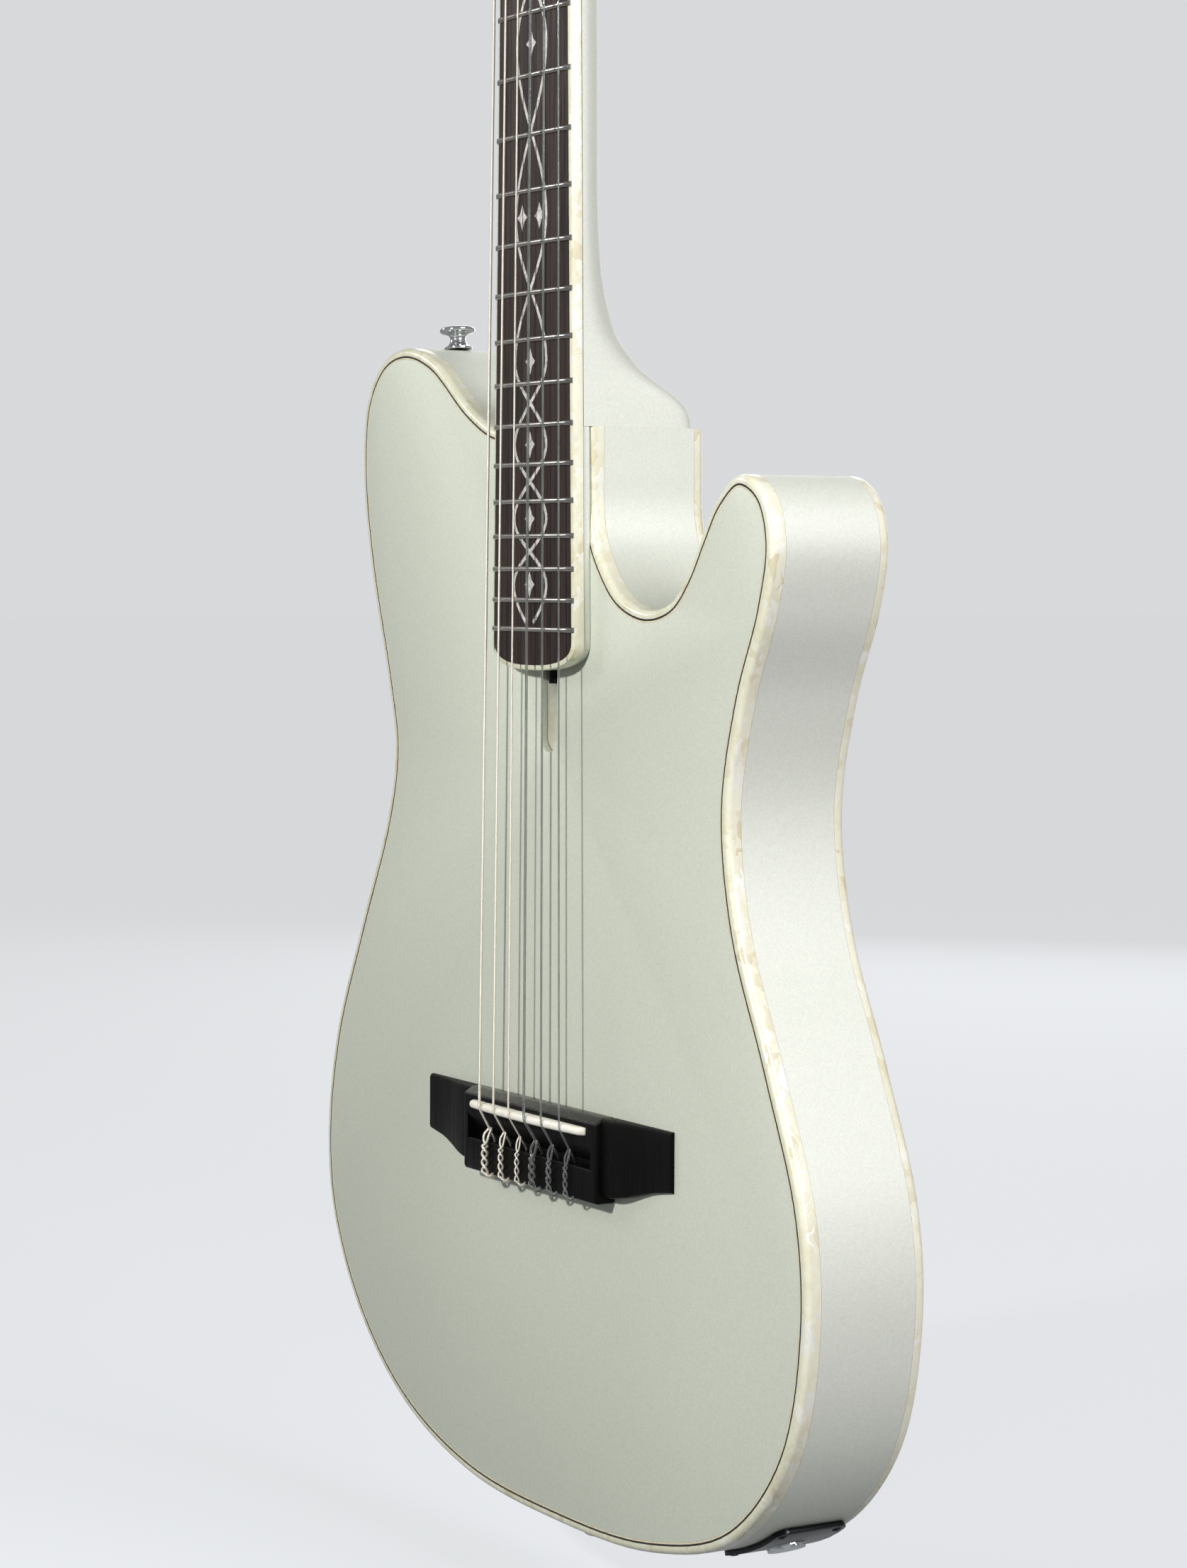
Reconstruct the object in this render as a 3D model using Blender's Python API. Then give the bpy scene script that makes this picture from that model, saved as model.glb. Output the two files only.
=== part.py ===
"""A thin-bodied electric nylon-string guitar with one deep cutaway.

It hangs by its head, as on a wall hanger: +Z runs up the neck, the face
looks along -Y and the treble side is +X. The origin lies on the neck's
centre line, level with the head's shoulders. Lengths are in metres.
"""
import math

import bmesh
import bpy
from mathutils import Matrix, Vector

GAP = 0.0003                  # seat gap between two pieces that touch
RUNNING = 0.0003              # clearance round a turning shaft

# Strings and frets
SCALE_LENGTH = 0.634
FRET_COUNT = 22
STRING_RADII = (0.000545, 0.000445, 0.00037, 0.00051, 0.00041, 0.000355)
NUT_SPACING = 0.0078
SADDLE_SPACING = 0.0117
FRET_HEIGHT = 0.0010
FRET_WIDTH = 0.0024
NUT_ACTION = 0.0004           # string above the frets' plane at the nut

# Neck
NUT_DROP = 0.014              # nut's playing edge below the head's shoulders
NUT_LENGTH = 0.005
NUT_HALF = 0.0222             # half the board's width at the nut
LAST_FRET_HALF = 0.0298       # and at the last fret
BOARD_THICKNESS = 0.0054
BOARD_RADIUS = 0.40
BOARD_OVERHANG = 0.0148       # board past its last fret
BOARD_END_ROUND = 0.011
BOARD_BINDING = 0.0018
BINDING_STEP = 0.00045        # board's edge strip below its face, under the frets' ends
TONGUE_RISE = 0.0026          # board's seat above the soundboard
TONGUE_SETBACK = 0.009        # tongue's end short of the board's end
NECK_BACK = 0.0120            # back of the neck behind the soundboard plane
NECK_BACK_NUT = 0.0108
TENON_HALF = 0.016
TENON_LENGTH = 0.034
ROD_HALF = 0.003
ROD_DEPTH = 0.0085
ROD_NUT_RADIUS = 0.0033
ROD_NUT_LENGTH = 0.013
ROD_KEY_RADIUS = 0.002

# Body
HEEL_RISE = 0.2505            # body's heel face above the saddle
HEEL_HALF = 0.0287
BODY_DEPTH = 0.048
TOP_THICKNESS = 0.003
BACK_THICKNESS = 0.003
RIM_THICKNESS = 0.0035
BINDING_WIDTH = 0.003
TOP_BINDING_HEIGHT = 0.0058
BACK_BINDING_HEIGHT = 0.0042
BINDING_ROUND = 0.0022
PURFLING_WIDTH = 0.0016
LINING_WIDTH = 0.006
LINING_HEIGHT = 0.0085
BLOCK_LENGTH = 0.128          # neck block, down to below the rod's slot
SLOT_HALF = 0.0059
SLOT_END_RISE = 0.133
SLOT_DEPTH = 0.0095
TAIL_HALF = 0.064              # the block ends at the last outline points inside this
TAIL_LENGTH = 0.020
BRACE_WIDTH = 0.008
BRACE_HEIGHT = 0.012
TOP_BRACE_RISE = 0.110
UPPER_BACK_BRACE_RISE = 0.112
LOWER_BACK_BRACE_RISE = 0.030
PAD_HALF = 0.095
PAD_WIDTH = 0.040
PAD_THICKNESS = 0.0025

# Bridge, with the saddle line as its zero
BRIDGE_HALF = 0.088
BRIDGE_BLOCK_HALF = 0.0485
BRIDGE_UPPER = 0.0056
BRIDGE_LOWER = 0.0246
WING_LOWER = 0.0160
BRIDGE_HEIGHT = 0.0085
WING_HEIGHT = 0.0062
WING_TIP_HEIGHT = 0.0018
TROUGH_START = 0.0110
TROUGH_END = 0.0130
TROUGH_HEIGHT = 0.0040
TIE_HOLE_HEIGHT = 0.0056
TIE_HOLE_RADIUS = 0.0011
SADDLE_HALF = 0.0415
SADDLE_THICKNESS = 0.0030
SADDLE_TOP = 0.0129
SADDLE_SLOT_FLOOR = 0.0024
PIEZO_HEIGHT = 0.0007

# Head, in its own tilted frame: x across, w back and u up from the nut
HEAD_TILT = math.radians(12)
HEAD_LENGTH = 0.178
HEAD_HALF = 0.036
HEAD_THICKNESS = 0.017
HEAD_SHOULDER = 0.022
VENEER_THICKNESS = 0.0012
STRING_SLOT_INNER = 0.0078
STRING_SLOT_OUTER = 0.0250
STRING_SLOT_START = 0.019
STRING_SLOT_TAIL = 0.016
ROLLER_RADIUS = 0.005
ROLLER_FIRST = 0.045
ROLLER_STEP = 0.035
ROLLER_W = 0.0075
ROLLER_NECK_RADIUS = 0.003
ROLLER_SEAT = 0.0045          # depth of a roller's blind hole in the middle web
WINDING_TURNS = 2.25
WINDING_STUB = 0.004
WINDING_CLEAR = 0.0005        # free space between two turns
WINDING_STARTS = (0.0175, 0.0150, 0.0125)

# Tuning machines
PLATE_THICKNESS = 0.0012
PLATE_MARGIN = 0.0012
PLATE_PAST_ROLLER = 0.014
GEAR_TEETH = 14
GEAR_PITCH_RADIUS = 0.005
GEAR_THICKNESS = 0.0035
WORM_PITCH_RADIUS = 0.0023
TOOTH_HALF_HEIGHT = 0.00055
WORM_SHAFT_RADIUS = 0.0013
WORM_TURNS = 3
EAR_THICKNESS = 0.0014
EAR_HALF = 0.0030
BUTTON_START = 0.020
BUTTON_LENGTH = 0.018
BUTTON_HALF = 0.0080
BUTTON_THICK_HALF = 0.0046

# Fittings
KNOB_SPOT = (-0.149, 0.238)   # on the bass shoulder's side
KNOB_SPREAD = 0.011
KNOB_RADIUS = 0.0070
KNOB_HEIGHT = 0.0095
KNOB_SHAFT_RADIUS = 0.003
KNOB_SHAFT_LENGTH = 0.0095
PREAMP_HALF = 0.019
PREAMP_HALF_DEPTH = 0.009
PREAMP_THICKNESS = 0.012
PREAMP_SETBACK = 0.0050       # box behind the rim, room for the rim's curve
BOSS_SETBACK = 0.0030
JACK_SPOT = (0.115, -0.1356)  # on the lower treble side
JACK_PLATE_LENGTH = 0.040
JACK_PLATE_HALF = 0.0145
JACK_PLATE_THICKNESS = 0.0018
JACK_RADIUS = 0.0047
JACK_BORE_RADIUS = 0.0035
JACK_BARREL_RADIUS = 0.0065
JACK_BARREL_LENGTH = 0.020
JACK_CLEARANCE = 0.001        # barrel in front of the back lining
JACK_NUT_RADIUS = 0.0068
JACK_NUT_HEIGHT = 0.0022
HORN_BUTTON_SPOT = (-0.1135, 0.2852)
TAIL_BUTTON_SPOT = (0.0, -0.1492)
STRAP_BUTTON_RADIUS = 0.0069
STRAP_BUTTON_HEIGHT = 0.0093
COVER_HALF_X = 0.044
COVER_HALF_Z = 0.029
COVER_RISE = -0.030
COVER_X = -0.070
COVER_THICKNESS = 0.0015
COVER_LEDGE = 0.006
BATTERY_SIZE = (0.0265, 0.0175, 0.0485)
BATTERY_X = -0.125

NUT_Z = -NUT_DROP
SADDLE_Z = NUT_Z - SCALE_LENGTH
HEEL_Z = SADDLE_Z + HEEL_RISE
JACK_DEPTH = BODY_DEPTH - BACK_THICKNESS - LINING_HEIGHT - JACK_BARREL_RADIUS - JACK_CLEARANCE
LAST_FRET_RISE = SCALE_LENGTH * 2 ** (-FRET_COUNT / 12)
BOARD_END_RISE = LAST_FRET_RISE - BOARD_OVERHANG
BOARD_SEAT = -TONGUE_RISE - GAP
BOARD_FACE = BOARD_SEAT - BOARD_THICKNESS
HEAD_ORIGIN = Vector((0.0, -TONGUE_RISE, NUT_Z + NUT_LENGTH + 2 * GAP))
ROLLERS = tuple(ROLLER_FIRST + i * ROLLER_STEP for i in range(3))
WORM_OFFSET = GEAR_PITCH_RADIUS + WORM_PITCH_RADIUS
WORM_PITCH = 2 * math.pi * GEAR_PITCH_RADIUS / GEAR_TEETH
PLATE_OUTER = HEAD_HALF + GAP + PLATE_THICKNESS
GEAR_X = PLATE_OUTER + GAP + WORM_PITCH_RADIUS + TOOTH_HALF_HEIGHT

# The body's outer edge as (x, height above the saddle), from the treble
# corner of the heel down the treble side, round the tail and up to the
# bass corner of the heel.
OUTLINE = (
    (HEEL_HALF, HEEL_RISE), (HEEL_HALF, HEEL_RISE - 0.0145), (HEEL_HALF + 0.0003, 0.2210),
    (0.0315, 0.2105), (0.0375, 0.2010), (0.0485, 0.1906), (0.0660, 0.1854),
    (0.0825, 0.1886), (0.0928, 0.1978), (0.1016, 0.2102), (0.1115, 0.2232),
    (0.1255, 0.2314), (0.1400, 0.2250), (0.1462, 0.2085), (0.1415, 0.1855),
    (0.1285, 0.1555), (0.1199, 0.1180), (0.1265, 0.0780), (0.1470, 0.0340),
    (0.1670, -0.0130), (0.1702, -0.0520), (0.1585, -0.0960), (0.1260, -0.1295),
    (0.0720, -0.1458), (0.0030, -0.1492), (-0.0620, -0.1448), (-0.1150, -0.1274),
    (-0.1525, -0.0984), (-0.1753, -0.0620), (-0.1803, -0.0300), (-0.1725, 0.0115),
    (-0.1505, 0.0580), (-0.1275, 0.1035), (-0.1215, 0.1300), (-0.1270, 0.1540),
    (-0.1430, 0.2035), (-0.1490, 0.2380), (-0.1458, 0.2650), (-0.1325, 0.2805),
    (-0.1135, 0.2852), (-0.0905, 0.2795), (-0.0625, 0.2610), (-0.0470, 0.2534),
    (-0.0380, 0.2510), (-HEEL_HALF, HEEL_RISE),
)
OUTLINE_STEPS = 2
OUTLINE_TOLERANCE = 0.0003


def clear_scene():
    for item in list(bpy.data.objects):
        bpy.data.objects.remove(item, do_unlink=True)


def material(name, color, roughness, metallic=0.0):
    made = bpy.data.materials.new(name)
    made.use_nodes = True
    shader = made.node_tree.nodes["Principled BSDF"]
    shader.inputs["Base Color"].default_value = (*color, 1.0)
    shader.inputs["Roughness"].default_value = roughness
    shader.inputs["Metallic"].default_value = metallic
    return made


def finish(name, bm, paint, smooth_angle=35.0):
    """Turn a bmesh into a named object with outward faces."""
    bmesh.ops.remove_doubles(bm, verts=bm.verts, dist=1e-7)
    bmesh.ops.dissolve_degenerate(bm, edges=bm.edges, dist=1e-7)
    bmesh.ops.recalc_face_normals(bm, faces=bm.faces)
    mesh = bpy.data.meshes.new(name)
    bm.to_mesh(mesh)
    bm.free()
    mesh.shade_smooth()
    mesh.set_sharp_from_angle(angle=math.radians(smooth_angle))
    made = bpy.data.objects.new(name, mesh)
    bpy.context.collection.objects.link(made)
    if paint is not None:
        made.data.materials.append(paint)
    return made


def loft(name, loops, paint, close_ends=True, ring=False):
    """Skin equal loops of points. A ring joins its last loop to its first."""
    bm = bmesh.new()
    rows = [[bm.verts.new(point) for point in loop] for loop in loops]
    count = len(rows[0])
    pairs = list(zip(rows, rows[1:]))
    if ring:
        pairs.append((rows[-1], rows[0]))
    for low, high in pairs:
        for i in range(count):
            j = (i + 1) % count
            bm.faces.new((low[i], low[j], high[j], high[i]))
    if close_ends and not ring:
        bm.faces.new(rows[0])
        bm.faces.new(rows[-1])
    return finish(name, bm, paint)


def box(name, low, high, paint=None):
    corners = ((low[0], high[2]), (high[0], high[2]), (high[0], low[2]), (low[0], low[2]))
    loops = [[Vector((x, y, z)) for x, z in corners] for y in (low[1], high[1])]
    return loft(name, loops, paint)


def prism(name, outline, front, back, paint=None):
    """A flat outline of (x, z) points between two depths along Y."""
    return loft(name, [[Vector((x, y, z)) for x, z in outline] for y in (front, back)], paint)


def lathe(name, profile, paint, sides=16, along=Vector((0, 0, 1)), start=Vector()):
    """Turn (height, radius) pairs about a line through start."""
    along = along.normalized()
    side = along.orthogonal().normalized()
    other = along.cross(side)
    loops = []
    for height, radius in profile:
        centre = start + along * height
        angles = [2 * math.pi * i / sides for i in range(sides)]
        loops.append([centre + radius * (side * math.cos(a) + other * math.sin(a)) for a in angles])
    return loft(name, loops, paint)


def boolean(target, tool, operation):
    tool.hide_render = True
    tool.display_type = 'WIRE'
    step = target.modifiers.new(tool.name, 'BOOLEAN')
    step.operation = operation
    step.object = tool
    step.solver = 'EXACT'
    return target


def cut(target, *tools):
    for tool in tools:
        boolean(target, tool, 'DIFFERENCE')


def join(target, *tools):
    for tool in tools:
        boolean(target, tool, 'UNION')


def smooth(knots, steps):
    """A curve through knots, with tangents weighed by the root of each chord."""
    points = [Vector(knot) for knot in knots]
    spans = [math.sqrt((b - a).length) for a, b in zip(points, points[1:])]
    slopes = [(points[1] - points[0]) / spans[0]]
    for i in range(1, len(points) - 1):
        before, after = spans[i - 1], spans[i]
        into = (points[i] - points[i - 1]) / before
        out = (points[i + 1] - points[i]) / after
        slopes.append((into * after + out * before) / (before + after))
    slopes.append((points[-1] - points[-2]) / spans[-1])
    curve = []
    for i, span in enumerate(spans):
        for step in range(steps):
            t = step / steps
            curve.append((2 * t ** 3 - 3 * t * t + 1) * points[i]
                         + (t ** 3 - 2 * t * t + t) * span * slopes[i]
                         + (3 * t * t - 2 * t ** 3) * points[i + 1]
                         + (t ** 3 - t * t) * span * slopes[i + 1])
    curve.append(points[-1])
    return curve


def thin(path, tolerance):
    """Leave out points that lie on the line between their neighbours."""
    kept = [path[0]]
    for point, after in zip(path[1:], path[2:]):
        side = inward(after - kept[-1])
        if abs((point - kept[-1]).dot(side)) > tolerance:
            kept.append(point)
    return kept + [path[-1]]


def inward(direction):
    """The normal on the inner side of a path that runs clockwise from the front."""
    return Vector((direction.y, -direction.x)).normalized()


def offset(path, inset, closed):
    """Move a path inwards with mitred corners."""
    moved = []
    last = len(path) - 1
    for i, point in enumerate(path):
        before = path[i - 1] if i > 0 or closed else None
        after = path[(i + 1) % len(path)] if i < last or closed else None
        normals = []
        if before is not None:
            normals.append(inward(point - before))
        if after is not None:
            normals.append(inward(after - point))
        middle = sum(normals, Vector((0.0, 0.0))).normalized()
        moved.append(point + middle * inset / max(middle.dot(normals[0]), 0.4))
    return moved


def sweep(name, path, profile, closed, paint):
    """Carry a profile of (inset, y) points along a path of (x, rise) points."""
    lines = [(offset(path, inset, closed), y) for inset, y in profile]
    loops = []
    for i in range(len(path)):
        loops.append([Vector((line[i].x, y, SADDLE_Z + line[i].y)) for line, y in lines])
    return loft(name, loops, paint, ring=closed)


def world(outline):
    return [(point[0], SADDLE_Z + point[1]) for point in outline]


def nearest(path, spot):
    """Foot of a spot on the path, with the direction there and the outward normal."""
    spot = Vector(spot)
    best = None
    for start, end in zip(path, path[1:]):
        chord = end - start
        share = min(max((spot - start).dot(chord) / chord.length_squared, 0.0), 1.0)
        foot = start + chord * share
        if best is None or (foot - spot).length < best[0]:
            best = ((foot - spot).length, foot, chord.normalized())
    foot, direction = best[1], best[2]
    return foot, direction, -inward(direction)


def board_half(rise):
    slope = (LAST_FRET_HALF - NUT_HALF) / (SCALE_LENGTH - LAST_FRET_RISE)
    return LAST_FRET_HALF - (rise - LAST_FRET_RISE) * slope


def crown(x):
    """How far the board's face falls back beside its centre line."""
    return x * x / (2 * BOARD_RADIUS)


def board_outline():
    """From the nut down the treble side, round the end and up the bass side."""
    centre = BOARD_END_RISE + BOARD_END_ROUND
    half = board_half(centre)
    power = 2 / 2.7
    points = [Vector((NUT_HALF, SCALE_LENGTH))]
    for i in range(13):
        turn = math.pi * i / 12
        side = math.copysign(abs(math.cos(turn)) ** power, math.cos(turn))
        points.append(Vector((half * side, centre - BOARD_END_ROUND * math.sin(turn) ** power)))
    points.append(Vector((-NUT_HALF, SCALE_LENGTH)))
    return points


def segment_gap(points, radius, skip):
    """Least free distance between stretches of one tube that aren't neighbours."""
    least = None
    for i in range(len(points)):
        for j in range(i + skip, len(points)):
            distance = (points[i] - points[j]).length - 2 * radius
            least = distance if least is None else min(least, distance)
    return least


def tube(name, points, radius, paint, resolution=2):
    curve = bpy.data.curves.new(name, 'CURVE')
    curve.dimensions = '3D'
    curve.bevel_depth = radius
    curve.bevel_resolution = resolution
    curve.use_fill_caps = True
    spline = curve.splines.new('POLY')
    spline.points.add(len(points) - 1)
    for slot, point in zip(spline.points, points):
        slot.co = (*point, 1.0)
    made = bpy.data.objects.new(name, curve)
    bpy.context.collection.objects.link(made)
    curve.materials.append(paint)
    return made


def head_matrix():
    return Matrix.Translation(HEAD_ORIGIN) @ Matrix.Rotation(-HEAD_TILT, 4, 'X')


def in_head(item, place=Vector()):
    """Hang an item on the head's frame at a place given there."""
    item.parent = bpy.data.objects["head_frame"]
    item.location = place
    return item


def make_paints():
    return {
        "paint": material("satin sage paint", (0.52, 0.60, 0.53), 0.38, 0.25),
        "pearl": material("cream pearl celluloid", (0.80, 0.74, 0.58), 0.25),
        "black": material("black fibre line", (0.02, 0.02, 0.02), 0.5),
        "spruce": material("spruce", (0.62, 0.46, 0.27), 0.6),
        "mahogany": material("mahogany", (0.30, 0.14, 0.07), 0.6),
        "rosewood": material("dark rosewood", (0.055, 0.030, 0.020), 0.45),
        "ebony": material("ebony", (0.018, 0.015, 0.014), 0.4),
        "bone": material("bone", (0.80, 0.76, 0.64), 0.35),
        "chrome": material("chrome", (0.60, 0.60, 0.61), 0.15, 1.0),
        "steel": material("steel", (0.45, 0.45, 0.46), 0.35, 1.0),
        "plastic": material("black plastic", (0.02, 0.02, 0.02), 0.45),
        "button": material("pearl button", (0.78, 0.76, 0.70), 0.25),
        "wound": material("silvered winding", (0.62, 0.58, 0.52), 0.4, 0.9),
        "nylon": material("clear nylon", (0.60, 0.62, 0.60), 0.2),
    }


def make_body(paints):
    """Top, back, sides, their edges and what stiffens them inside."""
    edge = thin(smooth(OUTLINE, OUTLINE_STEPS), OUTLINE_TOLERANCE)
    round_it = [(BINDING_ROUND * (1 - math.sin(a)), BINDING_ROUND * (1 - math.cos(a)))
                for a in (0.0, math.pi / 4, math.pi / 2)]
    front_edge = round_it + [(0.0, TOP_BINDING_HEIGHT), (BINDING_WIDTH, TOP_BINDING_HEIGHT),
                             (BINDING_WIDTH, 0.0)]
    sweep("top_binding", edge, front_edge, False, paints["pearl"])
    back_edge = [(inset, BODY_DEPTH - y) for inset, y in round_it]
    back_edge += [(0.0, BODY_DEPTH - BACK_BINDING_HEIGHT),
                  (BINDING_WIDTH, BODY_DEPTH - BACK_BINDING_HEIGHT), (BINDING_WIDTH, BODY_DEPTH)]
    sweep("back_binding", edge, back_edge, True, paints["pearl"])

    rim_front = TOP_BINDING_HEIGHT + GAP
    rim_back = BODY_DEPTH - BACK_BINDING_HEIGHT - GAP
    walls = [(0.0, rim_front), (0.0, rim_back), (RIM_THICKNESS, rim_back), (RIM_THICKNESS, rim_front)]
    rim = sweep("rim", edge, walls, True, paints["paint"])

    purfling = BINDING_WIDTH + GAP
    board_inset = purfling + PURFLING_WIDTH + GAP
    strip = [(purfling, 0.0), (purfling, TOP_THICKNESS), (purfling + PURFLING_WIDTH, TOP_THICKNESS),
             (purfling + PURFLING_WIDTH, 0.0)]
    sweep("top_purfling", edge, strip, False, paints["black"])
    top = prism("soundboard", world(offset(edge, board_inset, True)), 0.0, TOP_THICKNESS, paints["paint"])
    back = prism("back_plate", world(offset(edge, BINDING_WIDTH + GAP, True)),
                 BODY_DEPTH - BACK_THICKNESS, BODY_DEPTH, paints["paint"])

    outer = RIM_THICKNESS + GAP
    inner = outer + LINING_WIDTH
    under_top = TOP_THICKNESS + GAP
    over_back = BODY_DEPTH - BACK_THICKNESS - GAP
    for name, low, high in (("top_lining", under_top, under_top + LINING_HEIGHT),
                            ("back_lining", over_back - LINING_HEIGHT, over_back)):
        ledge = [(outer, low), (outer, high), (inner, high), (inner, low)]
        sweep(name, edge, ledge, True, paints["mahogany"])

    rod_cutter = box("rod_channel_cut", (-ROD_HALF - GAP, -TONGUE_RISE - 0.001, SADDLE_Z + BOARD_END_RISE),
                     (ROD_HALF + GAP, ROD_DEPTH - TONGUE_RISE + GAP, NUT_Z - 0.006))
    lining_low = under_top + LINING_HEIGHT + GAP
    lining_high = over_back - LINING_HEIGHT - GAP
    make_blocks(paints, edge, rim, top, rod_cutter, (under_top, lining_low, lining_high, over_back))
    make_braces(paints, edge, under_top, over_back)
    make_rear_cover(paints, back, over_back)
    cut(bpy.data.objects["top_lining"], rod_cutter)
    return edge, rim, rod_cutter


def slot_outline(half, low, high):
    """Upright slot with a round lower end, as (x, rise) points."""
    points = [Vector((half, high)), ]
    for i in range(7):
        turn = math.pi * i / 6
        points.append(Vector((half * math.cos(turn), low + half - half * math.sin(turn))))
    points.append(Vector((-half, high)))
    return points


def make_blocks(paints, edge, rim, top, rod_cutter, levels):
    """Neck block with the tenon's mortise and the rod's pocket, and the tail block."""
    under_top, lining_low, lining_high, over_back = levels
    wall = RIM_THICKNESS + GAP
    ledge = wall + LINING_WIDTH + GAP
    block = box("neck_block", (-(HEEL_HALF - wall), lining_low, HEEL_Z - 2.2 * TENON_LENGTH),
                (HEEL_HALF - wall, lining_high, HEEL_Z - wall), paints["mahogany"])
    core = box("neck_block_core", (-(HEEL_HALF - ledge), under_top, HEEL_Z - BLOCK_LENGTH),
               (HEEL_HALF - ledge, over_back, HEEL_Z - ledge))
    join(block, core)
    slot = slot_outline(SLOT_HALF, SLOT_END_RISE, BOARD_END_RISE + TONGUE_SETBACK)
    pocket = prism("rod_pocket_cut", world(slot), -0.001, SLOT_DEPTH)
    cut(block, rod_cutter, pocket)
    cut(top, pocket, box("top_rod_cut", (-ROD_HALF - GAP, -0.001, SADDLE_Z + BOARD_END_RISE),
                         (ROD_HALF + GAP, TOP_THICKNESS + 0.001, HEEL_Z)))
    mortise = box("mortise_cut", (-TENON_HALF - GAP, lining_low + GAP, HEEL_Z - TENON_LENGTH - GAP),
                  (TENON_HALF + GAP, lining_high - GAP, HEEL_Z + 0.004))
    cut(block, mortise)
    rod_gate = box("rim_rod_cut", (-ROD_HALF - GAP, 0.0, HEEL_Z - 0.006),
                   (ROD_HALF + GAP, ROD_DEPTH - TONGUE_RISE + GAP, HEEL_Z + 0.004))
    cut(rim, mortise, rod_gate)

    def tail(name, half, inset, front, back, paint=None):
        lowest = [p for p in offset(edge, inset, True) if p.y < 0 and abs(p.x) < half]
        upper = min(p.y for p in lowest) + TAIL_LENGTH
        shape = lowest + [Vector((lowest[-1].x, upper)), Vector((lowest[0].x, upper))]
        return prism(name, world(shape), front, back, paint)

    middle = tail("tail_block", TAIL_HALF, wall, lining_low, lining_high, paints["mahogany"])
    join(middle, tail("tail_block_core", TAIL_HALF, ledge, under_top, over_back))


def make_braces(paints, edge, under_top, over_back):
    """Straight bars between the linings, and the pad under the bridge."""
    inner = offset(edge, RIM_THICKNESS + GAP + LINING_WIDTH + GAP, True)

    def span(rise):
        """Free x range inside the linings over a brace's width."""
        left, right = -1.0, 1.0
        for level in (rise - BRACE_WIDTH / 2, rise, rise + BRACE_WIDTH / 2):
            for a, b in zip(inner, inner[1:] + inner[:1]):
                if (a.y - level) * (b.y - level) <= 0 and a.y != b.y:
                    x = a.x + (b.x - a.x) * (level - a.y) / (b.y - a.y)
                    if x < 0:
                        left = max(left, x)
                    else:
                        right = min(right, x)
        return left, right

    for name, rise, front in (("top_brace", TOP_BRACE_RISE, True),
                              ("upper_back_brace", UPPER_BACK_BRACE_RISE, False),
                              ("lower_back_brace", LOWER_BACK_BRACE_RISE, False)):
        left, right = span(rise)
        near, far = (under_top, under_top + BRACE_HEIGHT) if front else (over_back, over_back - BRACE_HEIGHT)
        thin = near + (far - near) / 2
        taper = 2.5 * BRACE_HEIGHT
        side = [(left, near), (left, thin), (left + taper, far), (right - taper, far), (right, thin),
                (right, near)]
        low, high = SADDLE_Z + rise - BRACE_WIDTH / 2, SADDLE_Z + rise + BRACE_WIDTH / 2
        loft(name, [[Vector((x, y, z)) for x, y in side] for z in (low, high)], paints["spruce"])
    pad_low = SADDLE_Z - (BRIDGE_LOWER - BRIDGE_UPPER) / 2 - PAD_WIDTH / 2
    box("bridge_pad", (-PAD_HALF, under_top, pad_low),
        (PAD_HALF, under_top + PAD_THICKNESS, pad_low + PAD_WIDTH), paints["spruce"])


def make_rear_cover(paints, back, over_back):
    """A screwed plate set flush in the back, and the battery it gives access to."""
    middle = SADDLE_Z + COVER_RISE

    def plate(name, grow, front, rear, paint=None):
        return box(name, (COVER_X - COVER_HALF_X - grow, front, middle - COVER_HALF_Z - grow),
                   (COVER_X + COVER_HALF_X + grow, rear, middle + COVER_HALF_Z + grow), paint)

    cut(back, plate("cover_recess_cut", GAP, BODY_DEPTH - COVER_THICKNESS - GAP, BODY_DEPTH + 0.001),
        plate("cover_window_cut", -COVER_LEDGE, over_back - 0.001, BODY_DEPTH + 0.001))
    plate("rear_cover", 0.0, BODY_DEPTH - COVER_THICKNESS, BODY_DEPTH, paints["plastic"])
    wide, thick, tall = BATTERY_SIZE
    box("battery", (BATTERY_X - wide / 2, over_back - thick, middle - tall / 2),
        (BATTERY_X + wide / 2, over_back, middle + tall / 2), paints["steel"])


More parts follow.
